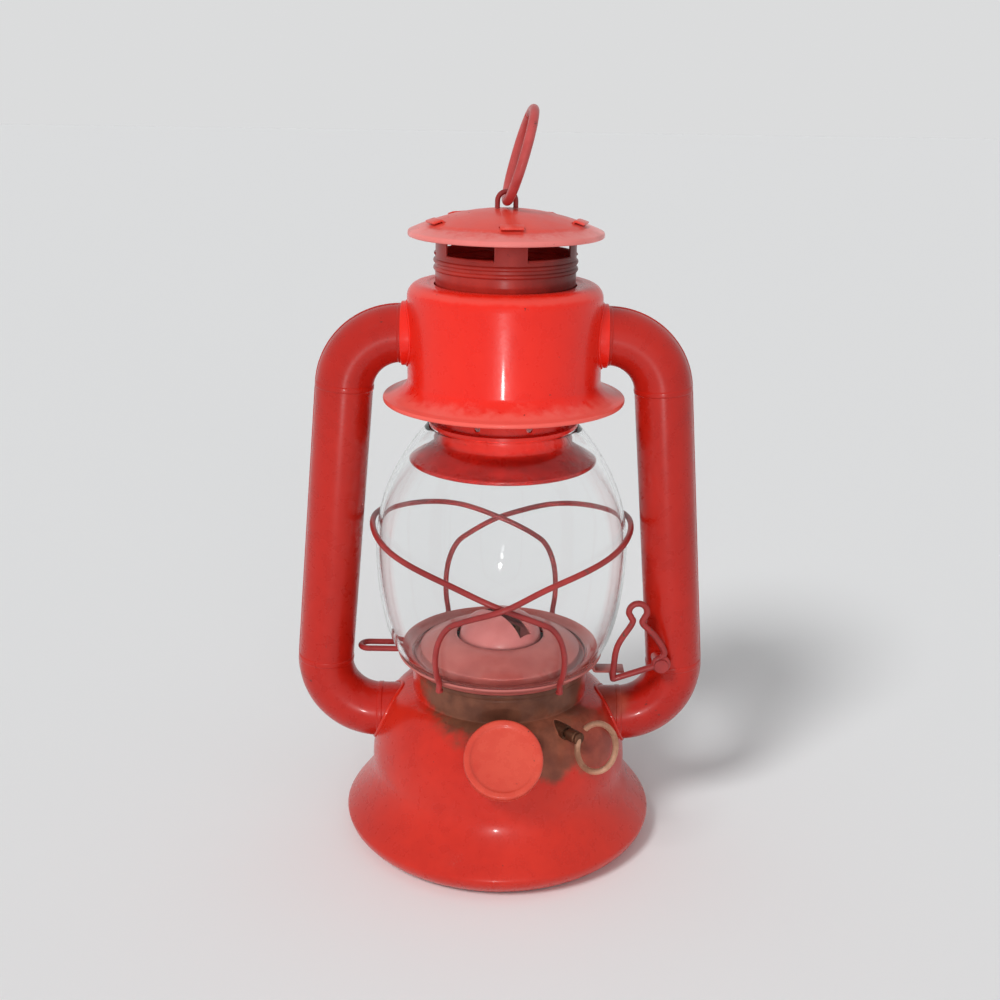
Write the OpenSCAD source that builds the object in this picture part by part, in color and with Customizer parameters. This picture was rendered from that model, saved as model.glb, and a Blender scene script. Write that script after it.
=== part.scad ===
// Kerosene lantern: pressed fount with a flared foot, two air tubes, hood, chimney crown with a carrying
// ring, glass globe on a lifting plate, wire guard, flat wick burner and a screw filler cap.
// Millimetres. +Z is up, the front faces -Y, the origin lies on the axis at floor level.

/* [Fount] */
// Diameter of the foot rim at its widest line
base_d = 120; // [114:1:128]
// Height of the widest line of the foot rim
rim_h = 8; // [6:0.5:9]
// Tuck of the foot inwards below its widest line
foot_tuck = 6; // [4:0.5:7]
// Height of the waist above the floor
waist_h = 28; // [26:1:32]
// Diameter at the waist
waist_d = 99; // [95:1:103]
// Height of the domed shoulder above the waist
dome_h = 30; // [28:1:34]
// Diameter of the air collar on the shoulder
collar_d = 67.4; // [66:0.2:70]
// Height of the air collar
collar_h = 11.4; // [10:0.2:14]
// Thickness of the pressed sheet metal
sheet = 0.8; // [0.6:0.1:1]

/* [Air tubes] */
// Outside diameter of an air tube
tube_d = 21; // [19:0.5:22]
// Radius of the tube bends at the centre line
bend_r = 21; // [19:0.5:23]
// Outward splay of the upright run, degrees
splay = 5; // [4:0.25:5.5]
// Straight stub between the hood and the upper bend
stub = 2.1; // [1.5:0.1:3]
// Wall of the air tube
tube_wall = 1; // [0.8:0.1:1.4]
// Height of the lower tube run above the waist
tube_rise = 18.4; // [17:0.2:19]
// Step where an elbow slips over a straight run
elbow_step = 0.1; // [0.08:0.01:0.15]

/* [Globe] */
// Height of the glass globe
globe_h = 93; // [88:1:97]
// Diameter of the globe at its belly
belly_d = 94.4; // [90:0.2:95]
// Height of the belly above the straight foot
belly_h = 43; // [40:0.5:46]
// Height of the straight foot of the globe
globe_foot_h = 1.5; // [1:0.25:2.5]
// Diameter at the foot of the globe
globe_foot_d = 68.4; // [66:0.2:69]
// Diameter at the mouth of the globe
globe_mouth_d = 54.6; // [54:0.2:57]
// Thickness of the glass
glass = 2; // [1.6:0.1:2.2]

/* [Globe plate] */
// Gap between the globe and its gallery
gallery_gap = 0.4; // [0.3:0.05:0.6]
// Height of the gallery rim
gallery_h = 4.5; // [3.5:0.5:5.5]
// Rise of the domed middle above the gallery floor
plate_rise = 9.5; // [7:0.5:11]

/* [Guard] */
// Diameter of the guard wire
guard_wire = 2.2; // [1.8:0.1:2.6]
// Height of the guard at the sides above the plate
guard_h = 56; // [52:1:60]
// Gap between the guard wire and the globe
guard_gap = 0.8; // [0.6:0.1:1.2]

/* [Hood] */
// Height of the hood flange above the globe
hood_gap = 9; // [8:0.5:11]
// Diameter of the hood
hood_d = 70; // [69:0.5:72]
// Height of the hood from flange to top
hood_h = 42.5; // [40:0.5:46]
// Diameter of the flared flange
flange_d = 88; // [84:1:92]
// Height of the flare
flare_h = 7; // [5:0.5:9]
// Radius of the rounded top edge
hood_round = 5; // [4:0.5:7]
// Drop of the tube centre line below the hood top
tube_drop = 18.8; // [17:0.2:20]

/* [Chimney and crown] */
// Gap between the chimney tube and the glass at the mouth of the globe
chimney_gap = 1.2; // [1.1:0.1:1.8]
// Gap between the bell mouth and the glass around it
bell_gap = 1.6; // [1.4:0.1:3]
// Height of the bell flare
bell_h = 6.8; // [5.6:0.2:8]
// Depth of the bell mouth below the mouth of the globe
bell_drop = 14; // [13:0.5:15]
// Diameter of the crown cap
cap_d = 69.2; // [66:0.2:72]
// Rise of the crown dome
cap_h = 7.7; // [6:0.1:10]
// Height of the crown lip above the hood
cap_gap = 16.2; // [15:0.2:19]
// Height of the vent windows
window_h = 6.8; // [6:0.2:7]
// Number of vent windows
windows = 5; // [4:1:6]
// Width of a vent window, degrees
window_turn = 46; // [38:1:50]
// Turn of the crown windows from the front towards the right, degrees
crown_turn = 4; // [0:1:10]
// Number of curls of the crown spring
spring_curls = 5; // [4:1:6]
// Wire of the crown spring
spring_wire = 1.6; // [1.2:0.1:2]

/* [Burner] */
// Diameter of the burner cone
cone_d = 31.2; // [30:0.2:32]
// Rise of the domed cone top
cone_rise = 10; // [8:0.5:12]
// Width of the flat wick
wick_w = 14.4; // [12:0.2:15]
// Thickness of the wick
wick_t = 2.2; // [1.8:0.1:2.6]
// Height of the wick spindle above the waist
spindle_h = 27; // [26:0.5:28]
// Turn of the spindle from the front towards the right, degrees
spindle_turn = 43; // [38:1:46]
// Diameter of the wick spindle
spindle_d = 3; // [2.6:0.1:3.4]
// Radius of the toothed feed wheels
wheel_r = 3.6; // [3.2:0.1:4]
// Gap between the spindle sleeve and the ferrule of the knob
knob_out = 1.25; // [1:0.25:4]
// Radius of the wire knob at the centre line
knob_r = 8.6; // [7:0.2:9.4]
// Diameter of the knob wire
knob_wire = 2.2; // [1.8:0.1:2.6]
// Roll of the wire knob about the spindle, degrees
knob_roll = 27; // [18:1:50]

/* [Filler] */
// Height of the filler neck root above the waist
filler_h = 20; // [19:0.5:21]
// Tilt of the filler axis above level, degrees
filler_tilt = 41; // [36:1:43]
// Turn of the filler from the front towards the right, degrees
filler_turn = 2; // [0:1:4]
// Outside diameter of the filler neck
neck_d = 22; // [20:0.5:23]
// Length of the neck outside the shoulder
neck_len = 5.5; // [5:0.25:7]
// Outside diameter of the filler cap
filler_cap_d = 28.6; // [28:0.2:30]
// Depth of the filler cap
filler_cap_h = 6; // [5.5:0.25:6.5]
// Thickness of the gasket
gasket_t = 1.2; // [1:0.1:1.6]

/* [Globe lift] */
// Rise of the globe at full lift
lift_h = 13; // [10:0.5:14]
// Wire diameter of the lift lever
lever_wire = 2.4; // [2:0.1:2.8]
// Diameter of the lever pin
lever_pin_d = 2.4; // [2:0.1:3]
// Distance of the lever pin inwards from the tube centre line
pivot_in = 6; // [5:0.25:6.5]
// Height of the finger ring above the lever pin
finger_rise = 21.2; // [19:0.2:24]
// Distance of the finger ring inwards from the lever pin
finger_in = 9.6; // [8.6:0.2:10.6]
// Radius of the finger ring at the wire centre
finger_r = 3.4; // [3:0.1:3.8]
// Reach of the lift tab beyond the gallery
tab_reach = 7.8; // [7:0.2:8.6]
// Width of the lift tab
lift_tab_w = 6.4; // [5:0.2:7]

/* [Carrying ring] */
// Diameter of the ring at the wire centre
ring_d = 32; // [28:0.5:36]
// Wire diameter of the ring
ring_wire = 3.4; // [3:0.1:3.8]
// Lean of the ring to the right, degrees
ring_lean = 16; // [0:1:30]
// Turn of the ring about the lantern axis, degrees
ring_turn = 4; // [0:1:10]

/* [Fits] */
// Gap between moving faces
run_gap = 0.3; // [0.25:0.05:0.4]
// Gap between seated pieces
seat_gap = 0.05; // [0.03:0.01:0.08]
// Radial gap between the lever eye and its pin
pin_gap = 0.05; // [0.03:0.01:0.08]

/* [Hidden] */
$fn = 96;
base_r = base_d / 2;
waist_r = waist_d / 2;
collar_r = collar_d / 2;
tube_r = tube_d / 2;
dome_z = waist_h + dome_h;
collar_z = dome_z + collar_h;
plate_z = collar_z + run_gap;

// Air drum inside the fount and the burner on it
drum_in = 3.7;
drum_rise = 6;
gallery_rise = 4;
drum_r = collar_r - drum_in;
drum_z = waist_h + drum_rise;
lip_w = 2.6;
burner_r = 12;
burner_z = drum_z + sheet + seat_gap;
gallery_z = dome_z + gallery_rise;
cone_r = cone_d / 2;
spindle_z = waist_h + spindle_h;
wick_tube_wall = 1;
wick_gap = 0.4;
tube_in_w = wick_w + 2 * wick_gap;
tube_in_t = wick_t + 2 * wick_gap;
spindle_y = -(wick_t / 2 + run_gap + wheel_r);
wheel_w = 1.8;
wheel_x = wick_w * 0.29;
spindle_r = spindle_d / 2;
sleeve_wall = 0.9;
spindle_tail = 0.6;
knob_gap = 1.5;
ferrule_len = 5;
sleeve_out = 1.5;
sleeve_r = spindle_r + run_gap + sleeve_wall;
sleeve_end = dome_r(spindle_z) + sleeve_out;
knob_reach = sleeve_end + knob_out + ferrule_len + knob_r;

// Globe, plate and guard
function globe_r(z) = z < belly_z
    ? foot_r + (belly_r - foot_r) * sqrt(max(0, 1 - pow((belly_z - z) / belly_h, 2)))
    : belly_r - (belly_r - mouth_r) * pow((z - belly_z) / (globe_top - belly_z), globe_curve);
globe_curve = 2.2;
globe_z = plate_z + sheet;
globe_top = globe_z + globe_h;
belly_z = globe_z + globe_foot_h + belly_h;
belly_r = belly_d / 2;
foot_r = globe_foot_d / 2;
mouth_r = globe_mouth_d / 2;
floor_r = foot_r + gallery_gap;
gallery_out = globe_r(plate_z + gallery_h) + gallery_gap + sheet;
plate_clear = 1.5;
plate_hole_r = cone_r + plate_clear;
guard_r = guard_wire / 2;
cone_z = plate_z + plate_rise;
cone_top = cone_z + cone_rise;

// Hood, tubes and chimney
hood_r = hood_d / 2;
hood_z = globe_top + hood_gap;
hood_top = hood_z + hood_h;
tube_top_z = hood_top - tube_drop;
tube_low_z = waist_h + tube_rise;
bend_x = hood_r + stub;
leg_rise = tube_top_z - tube_low_z - 2 * bend_r;
low_bend_x = bend_x + leg_rise * tan(splay);
elbow_lap = 1;
tube_lap = 4.5;
hood_lap = 2.6;
chimney_r = mouth_r - glass - chimney_gap;
neck_r = chimney_r + sheet + seat_gap;
neck_lap = 6;
neck_z = hood_top - lift_h - neck_lap;
bell_z = globe_top - bell_drop;
bell_r = globe_r(bell_z) - glass - bell_gap;
seat_z = globe_top + seat_gap;
seat_t = 1.2;
cap_r = cap_d / 2;
cap_z = hood_top + cap_gap;
cap_lip = 1.8;
apex_z = cap_z + cap_lip + cap_h;
window_rise = 10.2;
window_z = hood_top + window_rise;
bead_r = 0.9;
bead_rises = [5.2, 7.8];
curl_sides = 16;
spring_r = (neck_r + run_gap + spring_wire / 2) / cos(180 / curl_sides);
spring_low = seat_z + seat_t + seat_gap + spring_wire / 2;
spring_high = hood_top - sheet - seat_gap - spring_wire / 2;

// Lift lever
function leg_x(z) = bend_x + bend_r / cos(splay) + (tube_top_z - bend_r - z) * tan(splay);
lever_r = lever_wire / 2;
lever_clear = 1.5;
pivot_rise = 3.7;
lever_y = -(tube_r + lever_r + lever_clear);
pivot_z = plate_z + pivot_rise;
pivot_x = leg_x(pivot_z) - pivot_in;
arm_drop = lift_h / 2;
tab_x = floor_r + sheet + tab_reach;
arm_reach = pivot_x - tab_x;
tab_z = pivot_z - arm_drop + lever_r + run_gap;
eye_wall = 1.8;
pin_root = 2.2;
eye_r = lever_pin_d / 2 + eye_wall;
tab_clear = 1;
lift_tab_y = lever_y + lever_r + tab_clear;
echo(lever_turn = 2 * atan(arm_drop / arm_reach), lever_pivot = [pivot_x, lever_y, pivot_z]);

// Filler frame on the shoulder
function dome_r(z) = collar_r + (waist_r - collar_r) * sqrt(1 - pow((z - waist_h) / dome_h, 2));
filler_z = waist_h + filler_h;
filler_y = -dome_r(filler_z);

// Ring eye
eye_wire = 1.8;
ring_r = ring_wire / 2;
eye_clear = 0.6;
eye_lift = 0.8;
eye_in = ring_r + eye_clear;
eye_z = apex_z + ring_r + eye_lift;

// Outline helpers: an arc, the side step of a route, and a sheet of one thickness along a route
function arc(c, r, a0, a1, n) = [for (i = [0:n]) let (a = a0 + (a1 - a0) * i / n) c + r * [cos(a), sin(a)]];
function side(a, b) = let (d = (b - a) / norm(b - a)) [-d[1], d[0]];
function step(p, i) = let (n = len(p) - 1, a = side(p[max(i - 1, 0)], p[max(i, 1)]),
    b = side(p[min(i, n - 1)], p[min(i + 1, n)])) (a + b) / (1 + a * b);
function pressed(p, t) = concat(p, [for (i = [len(p) - 1:-1:0])
    let (q = p[i] + t * step(p, i)) [max(q[0], 0), q[1]]]);

// Round wire along a route of points, each with its own side direction
function ahead(p, i) = let (n = len(p) - 1, d = p[min(i + 1, n)] - p[max(i - 1, 0)]) d / norm(d);
function square_to(v, t) = let (w = v - (v * t) * t) w / norm(w);
function wire_points(p, v, r, k) = [for (i = [0:len(p) - 1])
    let (t = ahead(p, i), a = square_to(v[i], t), b = cross(t, a))
    for (j = [0:k - 1]) p[i] + r * (cos(360 * j / k) * a + sin(360 * j / k) * b)];
function wire_faces(n, k) = concat(
    [for (i = [0:n - 2]) for (j = [0:k - 1]) let (m = (j + 1) % k) [i * k + m, i * k + j, (i + 1) * k + j]],
    [for (i = [0:n - 2]) for (j = [0:k - 1]) let (m = (j + 1) % k)
        [(i + 1) * k + m, i * k + m, (i + 1) * k + j]],
    [for (j = [1:k - 2]) [0, j, j + 1]],
    [for (j = [1:k - 2]) [(n - 1) * k, (n - 1) * k + j + 1, (n - 1) * k + j]]);
function blend(a, b, c, d, t) = 0.5 * (2 * b + (c - a) * t + (2 * a - 5 * b + 4 * c - d) * t * t
    + (3 * b - a - 3 * c + d) * t * t * t);
function smooth_route(p, n) = let (m = len(p) - 1) concat([for (i = [0:m - 1]) for (j = [0:n - 1])
    blend(p[max(i - 1, 0)], p[i], p[i + 1], p[min(i + 2, m)], j / n)], [p[m]]);

module wire(p, v, r, k = 10) {
    polyhedron(points = wire_points(p, v, r, k), faces = wire_faces(len(p), k), convexity = 10);
}

module lathe(p) {
    rotate_extrude() polygon(p);
}

module ring(r_in, r_out, z, h) {
    difference() {
        translate([0, 0, z]) cylinder(r = r_out, h = h);
        translate([0, 0, z - 1]) cylinder(r = r_in, h = h + 2);
    }
}

// Frames: the filler axis, the spindle axis and the lower and upper ends of a tube
module at_filler() {
    rotate([0, 0, filler_turn]) translate([0, filler_y, filler_z]) rotate([90 - filler_tilt, 0, 0])
        children();
}

module at_burner() {
    rotate([0, 0, spindle_turn - 90]) children();
}

module along_spindle(r, x0, x1) {
    at_burner() translate([x0, spindle_y, spindle_z]) rotate([0, 90, 0]) cylinder(r = r, h = x1 - x0);
}

module tube_form(r, low_x, high_x) {
    translate([low_x, 0, tube_low_z]) rotate([0, 90, 0])
        cylinder(r = r, h = low_bend_x - low_x + elbow_lap);
    translate([low_bend_x, 0, tube_low_z + bend_r]) rotate([90, 0, 0]) rotate([0, 0, -90])
        rotate_extrude(angle = 90 + splay) translate([bend_r, 0]) circle(r = r + elbow_step);
    translate([low_bend_x + bend_r * cos(splay), 0, tube_low_z + bend_r + bend_r * sin(splay)])
        rotate([0, -splay, 0]) translate([0, 0, -elbow_lap])
        cylinder(r = r, h = leg_rise / cos(splay) + 2 * elbow_lap);
    translate([bend_x, 0, tube_top_z - bend_r]) rotate([90, 0, 0]) rotate([0, 0, splay])
        rotate_extrude(angle = 90 - splay) translate([bend_r, 0]) circle(r = r + elbow_step);
    translate([high_x, 0, tube_top_z]) rotate([0, 90, 0])
        cylinder(r = r, h = bend_x - high_x + elbow_lap);
}

module air_tube() {
    low_x = drum_r - tube_lap;
    high_x = hood_r - hood_lap;
    difference() {
        tube_form(tube_r, low_x, high_x);
        tube_form(tube_r - tube_wall, low_x - 1, high_x - 1);
    }
}

// Fount: foot, waist, shoulder and air collar
skirt_curve = 0.7;
tuck_steps = 6;
tuck = [for (i = [0:tuck_steps - 1]) let (f = 1 - i / tuck_steps)
    [base_r - foot_tuck * f * f, rim_h * (1 - f)]];
skirt_steps = 16;
skirt = [for (i = [0:skirt_steps]) let (f = i / skirt_steps, g = pow(f, skirt_curve))
    [base_r - (base_r - waist_r) * (3 * g * g - 2 * g * g * g), rim_h + (waist_h - rim_h) * f]];
shoulder = [for (i = [1:12]) let (a = 90 * i / 12)
    [collar_r + (waist_r - collar_r) * cos(a), waist_h + dome_h * sin(a)]];
fount_route = concat(tuck, skirt, shoulder, [[collar_r, collar_z], [collar_r - lip_w, collar_z]]);

module fount_shell() {
    color("firebrick") difference() {
        lathe(pressed(fount_route, sheet));
        for (a = [0, 180]) rotate([0, 0, a]) translate([drum_r, 0, tube_low_z])
            rotate([0, 90, 0]) cylinder(r = tube_r + elbow_step + run_gap, h = base_r - drum_r);
        at_filler() translate([0, 0, -neck_d / 2]) cylinder(d = neck_d + 2 * seat_gap, h = neck_d);
        along_spindle(sleeve_r + seat_gap, drum_r + 2, base_r);
    }
}

module fount_bottom() {
    foot_w = 3;
    floor_z = rim_h * 0.67;
    lip_z = rim_h - 0.5;
    foot_edge = fount_route[0] + sheet * step(fount_route, 0);
    foot_in = foot_edge[0] - seat_gap;
    color("firebrick") lathe([[0, floor_z], [foot_in - foot_w, floor_z], [foot_in - foot_w, 0],
        [foot_in, 0], [foot_in, lip_z], [foot_in - sheet, lip_z], [foot_in - sheet, floor_z + sheet],
        [0, floor_z + sheet]]);
}

module air_drum() {
    flange_z = collar_z - 2 * sheet - seat_gap;
    color("dimgray") difference() {
        lathe(pressed([[burner_r + sheet + run_gap, drum_z], [drum_r, drum_z], [drum_r, flange_z],
            [collar_r - sheet - seat_gap, flange_z]], sheet));
        for (a = [0, 180]) rotate([0, 0, a]) translate([0, 0, tube_low_z])
            rotate([0, 90, 0]) cylinder(r = tube_r + seat_gap, h = collar_r);
        along_spindle(sleeve_r + seat_gap, 0, collar_r);
    }
}

// Burner: collar, body, wick tube, cone
module burner_collar() {
    r_in = burner_r + seat_gap;
    skirt_z = drum_z - 3;
    flange_w = 3.4;
    color("darkkhaki") lathe([[r_in, skirt_z], [r_in + sheet, skirt_z], [r_in + sheet, burner_z],
        [r_in + flange_w, burner_z], [r_in + flange_w, burner_z + sheet], [r_in, burner_z + sheet]]);
}

module burner_body() {
    flange_z = burner_z + sheet + seat_gap;
    r_in = burner_r - sheet;
    low_z = drum_z - 2;
    flange_r = burner_r + 3;
    top_r = cone_r + 1.3;
    vents = 12;
    vent_r = 1.4;
    vent_z = drum_z + 8;
    slot_w = tube_in_w + 2 * (wick_tube_wall + seat_gap);
    slot_t = tube_in_t + 2 * (wick_tube_wall + seat_gap);
    color("darkkhaki") difference() {
        lathe([[r_in, low_z], [burner_r, low_z], [burner_r, flange_z], [flange_r, flange_z],
            [flange_r, flange_z + sheet], [burner_r, flange_z + sheet], [burner_r, gallery_z],
            [top_r, gallery_z], [top_r, gallery_z + sheet], [0, gallery_z + sheet],
            [0, gallery_z], [r_in, gallery_z]]);
        at_burner() translate([-slot_w / 2, -slot_t / 2, gallery_z - 1]) cube([slot_w, slot_t, sheet + 2]);
        along_spindle(spindle_r + seat_gap, -burner_r - 2, burner_r + 2);
        for (i = [0:vents - 1]) rotate([0, 0, 360 * (i + 0.5) / vents]) translate([0, 0, vent_z])
            rotate([0, 90, 0]) cylinder(r = vent_r, h = burner_r + 2);
    }
}

module wick_tube() {
    low_z = drum_z - 8;
    high_z = cone_top - 5;
    out_w = tube_in_w + 2 * wick_tube_wall;
    out_t = tube_in_t + 2 * wick_tube_wall;
    color("darkkhaki") at_burner() difference() {
        translate([-out_w / 2, -out_t / 2, low_z]) cube([out_w, out_t, high_z - low_z]);
        translate([-tube_in_w / 2, -tube_in_t / 2, low_z - 1])
            cube([tube_in_w, tube_in_t, high_z - low_z + 2]);
        for (x = [-wheel_x, wheel_x])
            translate([x - wheel_w / 2 - run_gap, -out_t / 2 - 1, spindle_z - wheel_r - run_gap])
            cube([wheel_w + 2 * run_gap, out_t / 2 + 1, 2 * (wheel_r + run_gap)]);
    }
}

module burner_cone() {
    low_z = gallery_z + sheet + seat_gap;
    top = [for (i = [0:10]) let (a = 90 * i / 10) [cone_r * cos(a), cone_z + cone_rise * sin(a)]];
    slot_w = 2.2;
    flame_w = wick_w + 14;
    flame_t = wick_t + 3.6;
    flame_drop = cone_rise * 0.7;
    color("indianred") difference() {
        lathe(pressed(concat([[cone_r, low_z]], top), sheet));
        at_burner() translate([-flame_w / 2, -flame_t / 2, cone_top - flame_drop])
            cube([flame_w, flame_t, cone_rise]);
        for (a = [0, 180]) rotate([0, 0, a])
            translate([cone_r * 0.6, -slot_w / 2, cone_z]) cube([cone_r, slot_w, cone_rise * 0.55]);
    }
}

module spindle_sleeve() {
    x0 = drum_r - 4;
    color("dimgray") difference() {
        along_spindle(sleeve_r, x0, sleeve_end);
        along_spindle(spindle_r + run_gap, x0 - 1, sleeve_end + 1);
    }
}

// Filler: neck, cap and gasket on one axis
module filler_neck() {
    neck_wall = 1.2;
    root = 7;
    color("firebrick") at_filler() difference() {
        translate([0, 0, -root]) cylinder(d = neck_d, h = root + neck_len);
        translate([0, 0, -root - 1]) cylinder(d = neck_d - 2 * neck_wall, h = root + neck_len + 2);
    }
}

module filler_gasket() {
    color("black") at_filler() translate([0, 0, neck_len + run_gap]) cylinder(d = neck_d, h = gasket_t);
}

module filler_cap() {
    top_z = neck_len + run_gap + gasket_t + seat_gap;
    face_z = top_z + 1.8;
    skirt_z = face_z - filler_cap_h;
    bore_r = neck_d / 2 + run_gap;
    wall_r = filler_cap_d / 2;
    edge_r = 1.6;
    dish = 0.6;
    rim_w = 4;
    color("firebrick") at_filler() lathe(concat([[bore_r, skirt_z], [wall_r - edge_r / 2, skirt_z]],
        arc([wall_r - edge_r, face_z - edge_r], edge_r, 0, 90, 5),
        [[wall_r - rim_w, face_z - dish], [0, face_z - dish], [0, top_z], [bore_r, top_z]]));
}

// Air tubes
module left_tube() {
    color("firebrick") rotate([0, 0, 180]) air_tube();
}

module right_tube() {
    color("firebrick") air_tube();
}

// Hood with its flange, and the collars where the tubes enter it
flange_r = flange_d / 2;
edge_h = 1;
flare = [for (i = [0:8]) let (f = i / 8)
    [hood_r + (flange_r - hood_r) * (1 - f) * (1 - f), hood_z + edge_h + flare_h * f]];
hood_route = concat([[flange_r, hood_z]], flare,
    arc([hood_r - hood_round, hood_top - hood_round], hood_round, 0, 90, 8),
    [[neck_r + run_gap, hood_top]]);

module hood() {
    color("firebrick") difference() {
        lathe(pressed(hood_route, sheet));
        for (a = [0, 180]) rotate([0, 0, a]) translate([0, 0, tube_top_z])
            rotate([0, 90, 0]) cylinder(r = tube_r + seat_gap, h = flange_r);
    }
}

module hood_collars() {
    collar_in = 4;
    collar_wall = 1;
    color("firebrick") difference() {
        for (a = [0, 180]) rotate([0, 0, a]) translate([hood_r - collar_in, 0, tube_top_z])
            rotate([0, 90, 0]) ring(tube_r + seat_gap, tube_r + collar_wall, 0, collar_in + stub);
        translate([0, 0, hood_z]) cylinder(r = hood_r + seat_gap, h = hood_h);
    }
}

// Crown spring: closed route of even curls, each end running straight for one wire diameter
coil_turn = 360 / curl_sides;
coil_n = spring_curls * curl_sides;
function coil_at(i) = let (a = coil_turn * i) [spring_r * cos(a), spring_r * sin(a),
    spring_low + (spring_high - spring_low) * i / coil_n];
coil = [for (i = [0:coil_n]) coil_at(i)];
coil_tail = [coil[0] - spring_wire * (coil[1] - coil[0]) / norm(coil[1] - coil[0])];
coil_head = [coil[coil_n]
    + spring_wire * (coil[coil_n] - coil[coil_n - 1]) / norm(coil[coil_n] - coil[coil_n - 1])];
coil_route = concat([[coil_tail[0][0], coil_tail[0][1], coil[0][2]]], coil,
    [[coil_head[0][0], coil_head[0][1], coil[coil_n][2]]]);
coil_gap = min([for (i = [0:coil_n]) for (j = [i + curl_sides / 2:1:coil_n]) norm(coil[i] - coil[j])])
    - spring_wire;
echo(spring_least_gap = coil_gap);

module crown_spring() {
    color("silver") wire(coil_route, [for (p = coil_route) [p[0], p[1], 0]], spring_wire / 2 - 0.03, 6);
}

// Globe plate: gallery, step, domed middle and the tab over the lift lever
module globe_plate() {
    step_in = 1.2;
    step_r = foot_r - glass - step_in;
    gallery = [for (i = [0:5])
        let (z = globe_z + globe_foot_h + (gallery_h - sheet - globe_foot_h) * (1 - i / 5))
        [globe_r(z) + gallery_gap, z]];
    rise = [for (i = [0:8]) let (f = i / 8) [step_r + (plate_hole_r - step_r) * f,
        plate_z + sheet + plate_rise * (0.45 + 0.55 * sin(90 * f))]];
    color("firebrick") union() {
        lathe(pressed(concat(gallery, [[floor_r, plate_z + sheet], [step_r, plate_z + sheet]], rise),
            sheet));
        lift_tab();
    }
}

module lift_tab() {
    tab_t = sheet * 1.5;
    tip_x = tab_x + 4;
    root_x = sqrt(floor_r * floor_r - lift_tab_y * lift_tab_y) - sheet / 2;
    drop_x = floor_r + sheet;
    translate([drop_x, lift_tab_y, tab_z]) cube([tab_t, lift_tab_w, plate_z + sheet - tab_z]);
    translate([drop_x, lift_tab_y, tab_z]) cube([tip_x - drop_x, lift_tab_w, tab_t]);
    translate([root_x, lift_tab_y, plate_z]) cube([drop_x + sheet - root_x, lift_tab_w, sheet]);
}

// Glass globe: elliptic foot, parabolic shoulder
globe_route = concat([[foot_r, globe_z]],
    [for (i = [0:12]) let (a = 90 * i / 12)
        [foot_r + (belly_r - foot_r) * sin(a), belly_z - belly_h * cos(a)]],
    [for (i = [1:12]) let (z = belly_z + (globe_top - belly_z) * i / 12) [globe_r(z), z]]);

module globe() {
    color("lightblue", 0.4) difference() {
        lathe(pressed(globe_route, glass));
        translate([0, 0, globe_z - 5]) cylinder(r = belly_r, h = 5);
        translate([0, 0, globe_top]) cylinder(r = belly_r, h = 5);
    }
}

// Wire guard: turn from the side and height as a share of the guard height, mirrored front and back
guard_half = [[0, 1], [38, 0.936], [66, 0.857], [88, 0.73], [106, 0.61], [113, 0.54], [118, 0.41],
    [121, 0.24], [123, 0.02]];
guard_turns = concat([for (i = [len(guard_half) - 1:-1:1]) [-guard_half[i][0], guard_half[i][1]]],
    guard_half);
cross_width = 11;
function guard_at(q, lift) = let (z = plate_z + guard_h * q[1],
    over = lift * exp(-pow((abs(q[0]) - 90) / cross_width, 2)),
    r = max(globe_r(z) + guard_r + guard_gap, gallery_out + guard_r + seat_gap) + over)
    [-r * cos(q[0]), -r * sin(q[0]), z];
function guard_route(lift) = [for (q = smooth_route(guard_turns, 5)) guard_at(q, lift)];
guard_step = guard_wire + run_gap;

module guard(lift) {
    route = guard_route(lift);
    wire(route, [for (p = route) [p[0], p[1], 0]], guard_r);
}

module left_guard() {
    color("brown") guard(0);
}

module right_guard() {
    color("brown") mirror([1, 0, 0]) guard(guard_step);
}

// Wire loop that steadies the globe plate along the left tube
module plate_guide() {
    guide_z = plate_z + gallery_h - guard_r / 2;
    loop_r = 3.2;
    end_gap = 1;
    end_x = leg_x(guide_z + lift_h) - tube_r - end_gap;
    bow_x = end_x - loop_r - guard_r;
    color("brown") difference() {
        union() {
            for (y = [-loop_r, loop_r]) translate([-bow_x, y, guide_z]) rotate([0, 90, 0])
                cylinder(r = guard_r, h = bow_x - floor_r);
            translate([-bow_x, 0, guide_z]) rotate([0, 0, 90]) rotate_extrude(angle = 180)
                translate([loop_r, 0]) circle(r = guard_r);
        }
        translate([0, 0, plate_z]) cylinder(r = gallery_out, h = gallery_h + guard_wire);
    }
}

// Chimney: tube with bell mouth, seat ring on the globe, windowed neck and crown cap
module chimney_tube() {
    edge = 1.2;
    bell_curve = 1.3;
    bell = [for (i = [0:8]) let (f = i / 8)
        [chimney_r + (bell_r - chimney_r) * pow(1 - f, bell_curve), bell_z + edge + bell_h * f]];
    holes = 8;
    hole_r = 1.2;
    hole_z = seat_z + seat_t + 2;
    top_z = neck_z + neck_lap - 1;
    color("firebrick") difference() {
        lathe(pressed(concat([[bell_r, bell_z]], bell, [[chimney_r, top_z]]), sheet));
        for (i = [0:holes - 1]) rotate([0, 0, 360 * (i + 0.5) / holes - 90]) translate([0, 0, hole_z])
            rotate([0, 90, 0]) cylinder(r = hole_r, h = chimney_r + 2);
    }
}

module globe_seat() {
    color("firebrick") ring(chimney_r + seat_gap, mouth_r, seat_z, seat_t);
}

cap_seat = 0.2;
cap_steps = 12;
function cap_over(r) = cap_z + cap_lip + cap_h * (1 - pow(r / cap_r, 2));
cap_dome = [for (i = [0:cap_steps]) let (r = cap_r * (1 - i / cap_steps)) [r, cap_over(r)]];
function cap_under(r) = cap_over(r) - sheet - cap_seat;
tab_len = 8;
tab_fold = 4;
tab_slope = atan(2 * cap_h * neck_r / (cap_r * cap_r));

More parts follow.
